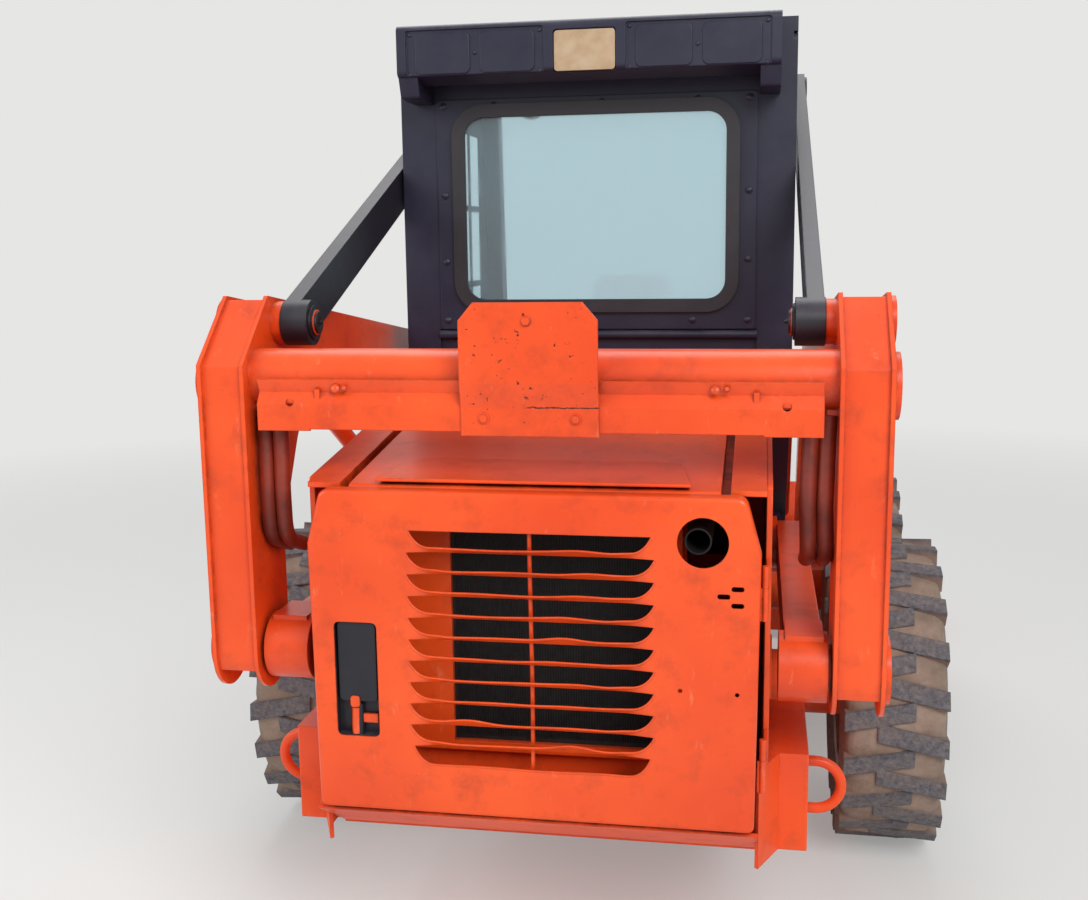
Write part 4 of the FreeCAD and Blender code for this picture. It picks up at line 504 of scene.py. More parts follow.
def dusty_tyre(name, axle_ahead, axle_up):
    """Worn natural rubber: the lugs are rubbed blue-grey, and dried mud clings to their flanks and the walls."""
    made, tree, surface, place = shader(name, "tyre_rubber")
    centre = at(0, axle_ahead, axle_up)
    wheel = add(tree, "ShaderNodeMapping", {"Vector": place, "Location": (0, -centre.y, -centre.z),
                                            "Scale": (0, 1, 1)}, vector_type="POINT")
    reach = add(tree, "ShaderNodeVectorMath", {0: wheel.outputs[0]}, operation="LENGTH").outputs["Value"]
    cake = add(tree, "ShaderNodeTexNoise", {"Vector": place, "Scale": per_mm(34), "Detail": 8,
                                            "Roughness": 0.75}).outputs[0]
    uneven = add(tree, "ShaderNodeMath", {0: cake, 1: 0.016, 2: reach}, operation="MULTIPLY_ADD").outputs[0]
    groove = ramp(tree, uneven, 0.3865, 0.374)
    wall = ramp(tree, reach, 0.33, 0.30)
    floor_dirt = add(tree, "ShaderNodeMath", {0: groove, 1: add(tree, "ShaderNodeMath", {0: wall, 1: 0.55},
                                                                operation="MULTIPLY").outputs[0]},
                     operation="SUBTRACT").outputs[0]
    worn = add(tree, "ShaderNodeTexNoise", {"Vector": place, "Scale": per_mm(14), "Detail": 8,
                                            "Roughness": 0.8}).outputs[0]
    rubber = add(tree, "ShaderNodeMix", {0: ramp(tree, worn, 0.38, 0.68), 6: linear("#464750"),
                                         7: linear("#7E7A79")}, data_type="RGBA")
    mud = add(tree, "ShaderNodeMix", {0: ramp(tree, cake, 0.3, 0.7), 6: linear("#957E6E"), 7: linear("#7A685C")},
              data_type="RGBA")
    amount = add(tree, "ShaderNodeMath", {0: floor_dirt, 1: ramp(tree, cake, 0.2, 0.5)},
                 operation="MULTIPLY", use_clamp=True).outputs[0]
    colour = add(tree, "ShaderNodeMix", {0: amount, 6: rubber.outputs[2], 7: mud.outputs[2]}, data_type="RGBA")
    soft = add(tree, "ShaderNodeBevel", {"Radius": 6 * MM}, samples=4)
    scuff = add(tree, "ShaderNodeBump", {"Height": worn, "Distance": 1.6 * MM, "Strength": 0.7,
                                         "Normal": soft.outputs[0]})
    tree.links.new(colour.outputs[2], surface.inputs["Base Color"])
    tree.links.new(scuff.outputs[0], surface.inputs["Normal"])
    surface.inputs["Roughness"].default_value = 0.82
    surface.inputs["IOR"].default_value = 1.52
    return made


PAINTS = {}


def make_materials():
    """Every material of the loader, kept by a plain key."""
    paint = bpy.context.scene.loader_paint
    fresh, deep = tuple(paint.body), tuple(paint.body_deep)
    pipe = (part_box("exhaust_pipe")[0][0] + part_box("exhaust_pipe")[1][0]) / 2
    PAINTS.update(
        orange=brushed_enamel("Brushed Enamel", fresh, deep),
        door=brushed_enamel("Sooted Enamel", fresh, deep, soot_at=at(311, 0, 1004)),
        bucket=brushed_enamel("Scraped Enamel", fresh, deep, worn=0.28),
        plate=brushed_enamel("Chipped Enamel", fresh, deep, worn=0.2, crack=(-0.01, 0.135, 1.232)),
        cab=cab_enamel("Cab Enamel", tuple(paint.cab), "cab_paint", 0.1),
        link=cab_enamel("Worn Black Enamel", tuple(paint.link), "black_paint", 0.5),
        # drop-centre steel wheel, sprayed cream and dulled by mud
        rim=plain_finish("Wheel Enamel", "rim_paint", "#B8AD98", "#7D6A55", 14, 0.55, ior=1.5),
        # hot-rolled plate polished by soil, with brown rust in the hollows
        steel=plain_finish("Soil Polished Steel", "worn_steel", "#7C7772", "#5A4438", 9, 0.42, metallic=0.85),
        # hard chrome over ground steel
        chrome=plain_finish("Hard Chrome", "rod_chrome", "#C9CCD2", "#B3B7BE", 3, 0.2, metallic=1.0, relief=0.02),
        # sand-cast iron under oily dust
        iron=plain_finish("Oily Cast Iron", "engine_iron", "#26241F", "#3B342B", 6, 0.6, metallic=0.3, relief=0.6),
        # turned pin ends, greased and gone grey
        pin=plain_finish("Greased Steel", "worn_steel", "#4B4A50", "#2A2426", 6, 0.45, metallic=0.8, relief=0.2),
        # folded aluminium fins sprayed matt black
        radiator=plain_finish("Radiator Black", "radiator_black", "#08080A", "#222121", 2, 0.6, metallic=0.2),
        # mild steel tube baked matt black by soot
        pipe=plain_finish("Sooty Steel", "pipe_steel", "#0C0B0B", "#1E1A18", 8, 0.7, metallic=0.3, relief=0.4),
        # extruded synthetic rubber gone dull
        rubber=plain_finish("Window Rubber", "window_rubber", "#15141A", "#232129", 5, 0.55, ior=1.52),
        # rubber hose painted over with the machine; its red-brown is darkened as painted shade of the gap beside the
        # tower, and wanders at random to a darker tone
        hose=plain_finish("Painted Hose", "hose_rubber", "#8C2C16", "#4E160E", 12, 0.5, ior=1.52, relief=0.5),
        glass=window_glass(),
        lens=lamp_lens(tuple(paint.lens)),
        # moulded vinyl with a fine leather print
        vinyl=plain_finish("Seat Vinyl", "seat_vinyl", "#17171A", "#26252A", 2.5, 0.5, ior=1.5, relief=0.35),
        # moulded grip, brown-red and greasy
        grip=plain_finish("Moulded Grip", "grip_rubber", "#1C1512", "#33211C", 4, 0.5, ior=1.5),
        tyre_rear=dusty_tyre("Dusty Tyre Rear", 1060, 382),
        tyre_front=dusty_tyre("Dusty Tyre Front", 1990, 382),
        # clay and silt dried in the tread, with a crumbled face
        mud=plain_finish("Dried Mud", "tyre_rubber", "#9C8879", "#786759", 9, 0.9, ior=1.5, relief=3.0),
    )


NODE_PAINTS = (
    # material, the CAD nodes that have it
    ("orange", ("chassis_tub", "door_hinges", "axle_housings", "tail_bumper", "tow_rings", "hood", "hood_rails",
                "lift_arms", "cross_channel", "lower_links", "lift_barrels",
                "lift_base_pins", "lower_link_pins", "tilt_barrels", "radiator_shroud")),
    ("bucket", ("hitch_plate", "bucket")),
    ("door", ("rear_door",)),
    ("plate", ("centre_plate",)),
    ("cab", ("cab_shell", "cab_rear_panel", "light_bar", "side_screens", "cab_floor", "seat_base", "foot_pedals",
             "lap_bar")),
    # door_latch's box takes the black link enamel as painted shade, so that the recess below the striker plate reads as
    # a dark void
    ("link", ("upper_links", "upper_link_pins", "door_latch")),
    ("rim", ("rim_rear_right", "rim_rear_left", "rim_front_right", "rim_front_left")),
    ("steel", ("cutting_edge",)),
    ("chrome", ("lift_rods", "tilt_rods")),
    ("iron", ("engine_block",)),
    ("radiator", ("radiator_core",)),
    ("pipe", ("exhaust_pipe",)),
    ("rubber", ("rear_window_rubber",)),
    ("hose", ("tower_hoses",)),
    ("glass", ("rear_glass",)),
    ("lens", ("rear_lamp", "front_lamps")),
    ("vinyl", ("seat",)),
    ("grip", ("control_levers",)),
    ("tyre_rear", ("tyre_rear_right", "tyre_rear_left")),
    ("tyre_front", ("tyre_front_right", "tyre_front_left")),
)


class LOADER_OT_paint_nodes(bpy.types.Operator):
    """Gives every CAD node the finish of the real part"""

    bl_idname = "loader.paint_nodes"
    bl_label = "Paint the CAD nodes"

    def execute(self, context):
        make_materials()
        for key, names in NODE_PAINTS:
            for name in names:
                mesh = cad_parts[name].data
                mesh.materials.clear()
                mesh.materials.append(PAINTS[key])
        return {"FINISHED"}


# Fasteners by Geometry Nodes


def fastener_tree(name, corners, dome):
    """A tree that puts one head, with a washer under it, on every point it is given."""
    tree = bpy.data.node_groups.new(name, "GeometryNodeTree")
    face = tree.interface
    face.new_socket("Points", in_out="INPUT", socket_type="NodeSocketGeometry")
    for label, value in (("Head radius", 8 * MM), ("Head height", 5 * MM), ("Washer radius", 12 * MM),
                         ("Washer height", 2 * MM)):
        face.new_socket(label, in_out="INPUT", socket_type="NodeSocketFloat").default_value = value
    face.new_socket("Turn", in_out="INPUT", socket_type="NodeSocketRotation")
    face.new_socket("Finish", in_out="INPUT", socket_type="NodeSocketMaterial")
    face.new_socket("Heads", in_out="OUTPUT", socket_type="NodeSocketGeometry")
    given = add(tree, "NodeGroupInput").outputs
    if dome:
        ball = add(tree, "GeometryNodeMeshUVSphere", {"Segments": 16, "Rings": 8, "Radius": given["Head radius"]})
        flat = add(tree, "ShaderNodeMath", {0: given["Head height"], 1: given["Head radius"]}, operation="DIVIDE")
        scale = add(tree, "ShaderNodeCombineXYZ", {0: 1.0, 1: 1.0, 2: flat.outputs[0]})
        head = add(tree, "GeometryNodeTransform", {"Geometry": ball.outputs[0], "Scale": scale.outputs[0]}).outputs[0]
    else:
        prism = add(tree, "GeometryNodeMeshCylinder", {"Vertices": corners, "Radius": given["Head radius"],
                                                       "Depth": given["Head height"]})
        half = add(tree, "ShaderNodeMath", {0: given["Head height"], 1: 0.5, 2: given["Washer height"]},
                   operation="MULTIPLY_ADD")
        rise = add(tree, "ShaderNodeCombineXYZ", {2: half.outputs[0]})
        head = add(tree, "GeometryNodeTransform", {"Geometry": prism.outputs[0],
                                                   "Translation": rise.outputs[0]}).outputs[0]
    disc = add(tree, "GeometryNodeMeshCylinder", {"Vertices": 24, "Radius": given["Washer radius"],
                                                  "Depth": given["Washer height"]})
    middle = add(tree, "ShaderNodeMath", {0: given["Washer height"], 1: 0.5}, operation="MULTIPLY")
    lift = add(tree, "ShaderNodeCombineXYZ", {2: middle.outputs[0]})
    washer = add(tree, "GeometryNodeTransform", {"Geometry": disc.outputs[0], "Translation": lift.outputs[0]})
    both = add(tree, "GeometryNodeJoinGeometry")
    tree.links.new(head, both.inputs[0])
    tree.links.new(washer.outputs[0], both.inputs[0])
    heads = add(tree, "GeometryNodeInstanceOnPoints", {"Points": given["Points"], "Instance": both.outputs[0],
                                                       "Rotation": given["Turn"]})
    real = add(tree, "GeometryNodeRealizeInstances", {0: heads.outputs[0]})
    painted = add(tree, "GeometryNodeSetMaterial", {"Geometry": real.outputs[0], "Material": given["Finish"]})
    add(tree, "NodeGroupOutput", {"Heads": painted.outputs[0]})
    return tree


def grown(name, tree, points, values, material, body):
    """Runs a tree on a set of points and keeps its result as one plain mesh."""
    seed = bpy.data.meshes.new(name + "_points")
    seed.from_pydata([tuple(point) for point in points], [], [])
    carrier = bpy.data.objects.new(name + "_carrier", seed)
    bpy.context.scene.collection.objects.link(carrier)
    modifier = carrier.modifiers.new("Grow", "NODES")
    modifier.node_group = tree
    sockets = {item.name: item.identifier for item in tree.interface.items_tree if item.in_out == "INPUT"}
    for label, value in {**values, "Finish": material}.items():
        modifier[sockets[label]] = value
    bpy.context.view_layer.update()
    shown = carrier.evaluated_get(bpy.context.evaluated_depsgraph_get())
    mesh = bpy.data.meshes.new_from_object(shown)
    mesh.name = name
    carrier.modifiers.remove(modifier)
    bpy.data.objects.remove(carrier)
    mesh.shade_smooth()
    mesh.set_sharp_from_angle(angle=math.radians(35))
    return finished(name, mesh, material, body)


def sizes(head, height, washer, thick, axis):
    """Inputs of a fastener tree, in metres, with the heads turned to face along an axis."""
    turn = Vector(axis).to_track_quat("Z", "Y").to_euler()
    return {"Head radius": head, "Head height": height, "Washer radius": washer, "Washer height": thick,
            "Turn": turn}


class LOADER_OT_cab_screws(bpy.types.Operator):
    """Screws round the rear window panel, at the corners of the lamp bar's covers and on the lower cab wall"""

    bl_idname = "loader.cab_screws"
    bl_label = "Cab screws"

    def execute(self, context):
        radius = context.scene.loader_hardware.screw
        low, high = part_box("cab_rear_panel")
        face = (low[1] - DOOR_Y) / MM
        across, bottom, top = 372, low[2] / MM + 22, high[2] / MM - 16
        spots = [(side * across, level) for side in (-1, 1) for level in (bottom, 1478, 1640, top)]
        spots += [(place, top) for place in (-245, 20, 250)] + [(place, bottom) for place in (-240, 240)]
        tree = fastener_tree("Cab Screw", 6, True)
        points = [at(x, face, z) for x, z in spots]
        grown("cab_panel_screws", tree, points, sizes(radius, 4 * MM, radius * 1.35, 1.2 * MM, (0, -1, 0)),
              PAINTS["cab"], "chassis")
        bar = (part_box("light_bar")[0][1] - DOOR_Y) / MM + 5
        corners = [(side * x, z) for side in (-1, 1) for x in (103, 410) for z in (1912, 2001)]
        corners += [(side * 256, 1957) for side in (-1, 1)]
        grown("lamp_cover_screws", tree, [at(x, bar, z) for x, z in corners],
              sizes(4 * MM, 2.5 * MM, 5.4 * MM, 0.8 * MM, (0, -1, 0)), PAINTS["cab"], "chassis")
        hexes = fastener_tree("Cab Bolt", 6, False)
        wall = 947 + 12
        grown("cab_wall_bolts", hexes, [at(242, wall, 1232), at(282, wall, 1230)],
              sizes(9 * MM, 6 * MM, 14 * MM, 2 * MM, (0, -1, 0)), PAINTS["cab"], "chassis")
        return {"FINISHED"}


class LOADER_OT_boom_bolts(bpy.types.Operator):
    """Bolts of the centre plate: one high and two low"""

    bl_idname = "loader.boom_bolts"
    bl_label = "Boom bolts"

    def execute(self, context):
        tree = fastener_tree("Boom Bolt", 6, False)
        plate_face = (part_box("centre_plate")[0][1] - DOOR_Y) / MM
        channel = (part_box("cross_channel")[0][1] - DOOR_Y) / MM
        grown("centre_plate_bolts", tree, [at(-2, 34, 1386)], sizes(8 * MM, 4 * MM, 10 * MM, 1 * MM, (0, -1, 0)),
              PAINTS["orange"], "boom")
        grown("centre_plate_low_bolts", tree, [at(-83, 43, 1212), at(84, 43, 1212)],
              sizes(8 * MM, 4 * MM, 11 * MM, 1.5 * MM, (0, -1, 0)), PAINTS["orange"], "boom")
        return {"FINISHED"}


# The rear door: louvres are sizes in millimetres on the door's face

LOUVRE = {"top": 1012, "pitch": 41, "gap": 31, "half": 225, "lip": 180, "press": 5.4, "recess": 9}
# place across and rise of the bend that use has left in each louvre's lip
LIP_BENDS = ((95, 3), (110, 4), (90, 2), (70, 3), (65, 7), (30, 2), (90, 3), (60, 2), (-110, 6), (80, 9), (0, 0))


def louvre_lip(index):
    """Points of one louvre's lower edge, (across, up, ahead), from its left corner to its right one."""
    top = LOUVRE["top"] - LOUVRE["pitch"] * index
    low = top - LOUVRE["gap"] - (4 if index == len(LIP_BENDS) - 1 else 0)
    half, end = LOUVRE["half"] - (6 if index in (0, len(LIP_BENDS) - 1) else 0), LOUVRE["lip"]
    bend_at, rise = LIP_BENDS[index]
    curve = [(1 - t) ** 2 * Vector((half, top)) + 2 * t * (1 - t) * Vector((half - 14, low)) + t * t * Vector((end, low))
             for t in (step / 7 for step in range(7))]
    points = [(-spot.x, spot.y, 0.0) for spot in curve]
    count = 36
    for step in range(count + 1):
        x = end * (2 * step / count - 1)
        fade = min((end - abs(x)) / 40, 1)
        fade = fade * fade * (3 - 2 * fade)
        wave = rise * math.exp(-((x - bend_at) / 42) ** 2) + math.sin(x / 36 + index * 2.3) * 0.9
        press = 0 if index == len(LIP_BENDS) - 1 else LOUVRE["press"]
        points.append((x, low + wave * fade, -press * fade))
    return points + [(spot.x + 3, spot.y, 0.0) for spot in reversed(curve)]


def louvre_opening(index):
    """Closed outline of one louvre's opening: its lip, then its straight upper edge, which leans inward."""
    lip = louvre_lip(index)
    top, half = lip[0][1], lip[-1][0]
    upper = []
    for step in range(1, 18):
        x = half - 2 * half * step / 18
        fade = min((half - abs(x)) / 45, 1)
        upper.append((x, top, (LOUVRE["recess"] if index else 0) * fade * fade * (3 - 2 * fade)))
    return [*lip, *upper]


class LOADER_OT_louvred_door(bpy.types.Operator):
    """Rear door of folded sheet, with pressed louvres, the pipe's hole, the latch's slot and hinge knuckles"""

    bl_idname = "loader.louvred_door"
    bl_label = "Louvred door"

    def execute(self, context):
        outline = eased(((-406, 470, 14), (406, 470, 14), (412, 983), (385, 1084, 22), (-385, 1084, 22), (-412, 983)))
        count = len(LIP_BENDS)
        flat = [eased(((-366, 615, 12), (-284, 615, 12), (-284, 836, 12), (-366, 836, 12)))]
        flat += [[Vector((x + math.cos(math.tau * n / steps) * radius, z + math.sin(math.tau * n / steps) * radius))
                  for n in range(steps)] for x, z, radius, steps in ((311, 1004, 45, 40), (273, 734, 4, 10), (373, 731, 4, 10))]
        flat += [eased(((x - 11, z - 4.5, 4.4), (x + 11, z - 4.5, 4.4), (x + 11, z + 4.5, 4.4), (x - 11, z + 4.5, 4.4)))
                 for x, z in ((372, 923), (348, 909), (372, 893))]
        holes = [louvre_opening(index) for index in range(count)]
        holes += [[(x, z, 0.0) for x, z in loop] for loop in flat]
        shape = bmesh.new()
        front, back = pierced_sheet(shape, [(x, z, 0.0) for x, z in shrunk(outline, 8)], holes, 3)
        fold = [[shape.verts.new(at(x, ahead, z)) for x, z in shrunk(outline, inset)] for inset, ahead in (
            (4.9, 0.7), (2.3, 2.4), (0.6, 5), (0, 8), (0, 34), (3, 34), (3, 9), (4.6, 5.2))]
        skin(shape, [front, *fold, back])
        for index in range(count):
            line = [at(x, ahead + 0.9, z) for x, z, ahead in louvre_lip(index)]
            sweep(shape, line, 1.9 * MM, 8)
        sweep(shape, [at(3 + math.sin(z / 90), 15, z) for z in range(556, 1020, 20)], 4 * MM, 8)
        for level in (540, 860):
            tube_ring(shape, at(419, 28, level), Vector((0, 0, 1)), 3.05 * MM, 6 * MM, 60 * MM)
            brick(shape, at(410, 25, level), at(414.5, 31, level + 60))
        piece = finished("louvred_door", from_bmesh("louvred_door", shape), PAINTS["door"], "rear_door")
        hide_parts("rear_door")
        return {"FINISHED"}


class LOADER_OT_door_latch(bpy.types.Operator):
    """Dark striker plate in the latch's slot, and the painted pin and tongue below it"""

    bl_idname = "loader.door_latch"
    bl_label = "Door latch"

    def execute(self, context):
        shape = bmesh.new()
        rounded_slab(shape, -325, 11, 758, 37, 77, 9, 5)
        finished("latch_plate", from_bmesh("latch_plate", shape), PAINTS["link"], "rear_door")
        shape = bmesh.new()
        sweep(shape, [at(-332, 14, 616), at(-332, 14, 640), at(-331, 14, 668)], 9.5 * MM, 16)
        brick(shape, at(-324, 12, 638), at(-290, 18, 655))
        rounded_slab(shape, -331, 6, 681, 9, 11, 6, 4)
        finished("latch_pin", from_bmesh("latch_pin", shape), PAINTS["orange"], "rear_door")
        return {"FINISHED"}


class LOADER_OT_pin_ends(bpy.types.Operator):
    """Steel washer, retaining ring, pin end and grease nipple in each upper link's boss"""

    bl_idname = "loader.pin_ends"
    bl_label = "Pin ends"

    def execute(self, context):
        shape = bmesh.new()
        for side in (-1, 1):
            inward = Vector((-side, 0, 0))
            revolve(shape, ((0, 34 * MM), (2.6 * MM, 34 * MM), (3.4 * MM, 33 * MM), (3.4 * MM, 26 * MM), (6 * MM, 26 * MM),
                            (6 * MM, 22 * MM), (11 * MM, 22 * MM), (12.4 * MM, 20.5 * MM), (12.4 * MM, 7 * MM),
                            (10.5 * MM, 5 * MM)), at(side * 465.7, 235, 1372), inward, 40)
            revolve(shape, ((0, 4 * MM), (5 * MM, 4 * MM), (5 * MM, 2.5 * MM), (8 * MM, 3.2 * MM), (9 * MM, 1.5 * MM)),
                    at(side * 455.2, 235, 1372), inward, 12)
        finished("upper_pin_ends", from_bmesh("upper_pin_ends", shape), PAINTS["pin"], "boom")
        return {"FINISHED"}


class LOADER_OT_channel_plugs(bpy.types.Operator):
    """Domed plugs and bolts on the slope of the cross channel"""

    bl_idname = "loader.channel_plugs"
    bl_label = "Channel plugs"

    def execute(self, context):
        tree = fastener_tree("Channel Plug", 6, True)
        slope = (0, -1, 0.35)
        grown("channel_plugs", tree, [at(-363, 53, 1263), at(328, 53, 1265)],
              sizes(7.5 * MM, 3.5 * MM, 8.5 * MM, 1 * MM, slope), PAINTS["orange"], "boom")
        tree = fastener_tree("Channel Bolt", 6, False)
        grown("channel_bolts", tree, [at(-345, 53, 1263), at(348, 53, 1266)],
              sizes(4.5 * MM, 3.5 * MM, 5.5 * MM, 1 * MM, slope), PAINTS["orange"], "boom")
        return {"FINISHED"}


class LOADER_OT_radiator_fins(bpy.types.Operator):
    """Folded fins over the radiator's rear face, by Geometry Nodes on a line"""

    bl_idname = "loader.radiator_fins"
    bl_label = "Radiator fins"

    def execute(self, context):
        low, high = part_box("radiator_core")
        pitch = context.scene.loader_hardware.fin_pitch
        tree = bpy.data.node_groups.new("Radiator Fins", "GeometryNodeTree")
        face = tree.interface
        face.new_socket("Start", in_out="INPUT", socket_type="NodeSocketVector")
        face.new_socket("Fin pitch", in_out="INPUT", socket_type="NodeSocketFloat")
        face.new_socket("Fin count", in_out="INPUT", socket_type="NodeSocketInt")
        face.new_socket("Fin size", in_out="INPUT", socket_type="NodeSocketVector")
        face.new_socket("Finish", in_out="INPUT", socket_type="NodeSocketMaterial")
        face.new_socket("Fins", in_out="OUTPUT", socket_type="NodeSocketGeometry")
        given = add(tree, "NodeGroupInput").outputs
        step = add(tree, "ShaderNodeCombineXYZ", {0: given["Fin pitch"]})
        line = add(tree, "GeometryNodeMeshLine", {"Count": given["Fin count"], "Start Location": given["Start"],
                                                  "Offset": step.outputs[0]}, mode="OFFSET")
        fin = add(tree, "GeometryNodeMeshCube", {"Size": given["Fin size"]})
        row = add(tree, "GeometryNodeInstanceOnPoints", {"Points": line.outputs[0], "Instance": fin.outputs[0]})
        real = add(tree, "GeometryNodeRealizeInstances", {0: row.outputs[0]})
        painted = add(tree, "GeometryNodeSetMaterial", {"Geometry": real.outputs[0], "Material": given["Finish"]})
        add(tree, "NodeGroupOutput", {"Fins": painted.outputs[0]})
        start = Vector((low[0] + 8 * MM, low[1] - 1 * MM, (low[2] + high[2]) / 2))
        count = int((high[0] - low[0] - 16 * MM) / pitch) + 1
        grown("radiator_fins", tree, [start], {
            "Start": start, "Fin pitch": pitch, "Fin count": count,
            "Fin size": (1 * MM, 4 * MM, high[2] - low[2] - 20 * MM)}, PAINTS["radiator"], "chassis")
        return {"FINISHED"}


class LOADER_OT_padded_seat(bpy.types.Operator):
    """Seat of moulded foam under vinyl: swollen by cloth pressure, then drawn in along its seams"""

    bl_idname = "loader.padded_seat"
    bl_label = "Padded seat"

    def execute(self, context):
        scene = context.scene
        merged = bmesh.new()
        merged.from_mesh(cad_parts["seat"].data)
        bmesh.ops.remove_doubles(merged, verts=merged.verts, dist=1e-5)
        mesh = bpy.data.meshes.new("padded_seat")
        merged.to_mesh(mesh)
        merged.free()
        pad = finished("padded_seat", mesh, PAINTS["vinyl"], "chassis")
        remesh = pad.modifiers.new("Remesh", "REMESH")
        remesh.mode, remesh.voxel_size = "VOXEL", 9 * MM
        bpy.context.view_layer.update()
        skin_mesh = bpy.data.meshes.new_from_object(pad.evaluated_get(context.evaluated_depsgraph_get()))
        pad.modifiers.remove(remesh)
        pad.data = skin_mesh
        swell = 7 * MM
        start = [vertex.co - vertex.normal * swell for vertex in skin_mesh.vertices]
        for vertex, spot in zip(skin_mesh.vertices, start):
            vertex.co = spot
        cloth = pad.modifiers.new("Cloth", "CLOTH")
        cloth.settings.use_pressure = True
        cloth.settings.uniform_pressure_force = 4
        cloth.settings.effector_weights.gravity = 0
        for number in range(1, 21):
            scene.frame_set(number)
        moved = pad.evaluated_get(context.evaluated_depsgraph_get()).data
        places = [vertex.co.copy() for vertex in moved.vertices]
        pad.modifiers.remove(cloth)
        scene.frame_set(1)
        for vertex, spot, place in zip(skin_mesh.vertices, start, places):
            shift = place - spot
            vertex.co = spot + (shift.normalized() * min(shift.length, swell) if shift.length > 1e-9 else shift)
        low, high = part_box("seat")
        for vertex in skin_mesh.vertices:
            seam = max(math.exp(-((abs(vertex.co.x) - 128 * MM) / (7 * MM)) ** 2),
                       math.exp(-((vertex.co.z - (low[2] + 0.62 * (high[2] - low[2]))) / (7 * MM)) ** 2))
            vertex.co -= vertex.normal * seam * 5 * MM
            for axis in range(3):
                vertex.co[axis] = min(max(vertex.co[axis], low[axis] + 0.0005), high[axis] - 0.0005)
        skin_mesh.materials.clear()
        skin_mesh.materials.append(PAINTS["vinyl"])
        skin_mesh.shade_smooth()
        fine = pad.modifiers.new("Fine", "SUBSURF")
        fine.levels = fine.render_levels = 1
        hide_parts("seat")
        return {"FINISHED"}


WHEELS = ("rear_right", "rear_left", "front_right", "front_left")
# closed section of the mud in a tread: millimetres from the tyre's middle plane, and radius
MUD_SECTION = ((-100, 314), (-116, 315), (-115, 333), (-112, 347), (-104, 359), (-88, 367), (-58, 370.5), (-28, 371.5),
               (0, 371.5), (28, 371.5), (58, 370.5), (88, 367), (104, 359), (112, 347), (115, 333), (116, 315),
               (100, 314))


class LOADER_OT_dried_mud(bpy.types.Operator):
    """Dried mud that fills each tyre's grooves to a few millimetres below the tops of its lugs"""

    bl_idname = "loader.dried_mud"
    bl_label = "Dried mud"

    def execute(self, context):
        steps, lump, heap, buried = 168, 30, 5, 330
        for place in WHEELS:
            low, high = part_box("tyre_" + place)
            middle = (Vector(low) + Vector(high)) / 2
            shape = bmesh.new()
            rings = []
            for across, radius in MUD_SECTION:
                ring = []
                for step in range(steps):
                    angle = math.tau * step / steps
                    spot = Vector((across, math.cos(angle) * radius, math.sin(angle) * radius))
                    rise = noise.noise(spot / lump) * heap if radius > buried else 0
                    spot.y *= 1 + rise / radius
                    spot.z *= 1 + rise / radius
                    ring.append(shape.verts.new(middle + spot * MM))
                rings.append(ring)
            skin(shape, rings + rings[:1])
            name = "dried_mud_" + place
            finished(name, from_bmesh(name, shape, 60), PAINTS["mud"], "wheel_" + place)
        return {"FINISHED"}


class LOADER_OT_wheel_nuts(bpy.types.Operator):
    """Eight nuts on each wheel's disc"""

    bl_idname = "loader.wheel_nuts"
    bl_label = "Wheel nuts"

    def execute(self, context):
        hardware = context.scene.loader_hardware
        tree = fastener_tree("Wheel Nut", 6, False)
        for place in WHEELS:
            low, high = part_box("rim_" + place)
            middle = [(a + b) / 2 for a, b in zip(low, high)]
            side = 1 if middle[0] > 0 else -1
            hub = middle[0] + side * 34 * MM
            points = []
            for step in range(8):
                angle = math.tau * (step + 0.5) / 8
                points.append(Vector((hub, middle[1] + math.cos(angle) * hardware.nut_circle,
                                      middle[2] + math.sin(angle) * hardware.nut_circle)))
            grown(f"wheel_nuts_{place}", tree, points,
                  sizes(hardware.nut, 14 * MM, hardware.nut * 1.2, 3 * MM, (side, 0, 0)), PAINTS["rim"],
                  f"wheel_{place}")
        return {"FINISHED"}


class LOADER_OT_lamp_covers(bpy.types.Operator):
    """Rounded blanks over the unused lamp places in the bar"""

    bl_idname = "loader.lamp_covers"
    bl_label = "Lamp covers"

    def execute(self, context):
        face = (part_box("light_bar")[0][1] - DOOR_Y) / MM + 5
        shape = bmesh.new()
        for side in (-1, 1):
            for left, right in ((116, 244), (267, 398)):
                centre, half_x = side * (left + right) / 2, (right - left) / 2
                rounded_slab(shape, centre, face, 1957, half_x, 46, 14, 3.2)
        finished("lamp_covers", from_bmesh("lamp_covers", shape), PAINTS["cab"], "chassis")
        return {"FINISHED"}


def rounded_slab(shape, across, ahead, up, half_x, half_z, corner, proud, steps=6):
    """Adds a closed slab with round corners and an eased edge, standing proud toward the rear."""
    rings = []
    for inset, depth in ((0, 2), (0, -proud + 1.2), (1.2, -proud), (4, -proud)):
        ring = []
        for quarter, (sx, sz) in enumerate(((1, 1), (-1, 1), (-1, -1), (1, -1))):
            for step in range(steps + 1):
                angle = math.pi / 2 * (quarter + step / steps)
                radius = max(corner - inset, 0.5)
                x = sx * (half_x - corner) + math.cos(angle) * radius
                z = sz * (half_z - corner) + math.sin(angle) * radius
                ring.append(shape.verts.new(at(across + x, ahead + depth, up + z)))
        rings.append(ring)
    for low, high in zip(rings, rings[1:]):
        for index in range(len(low)):
            following = (index + 1) % len(low)
            shape.faces.new((low[index], low[following], high[following], high[index]))
    shape.faces.new(rings[0])
    shape.faces.new(rings[-1])


# The stage


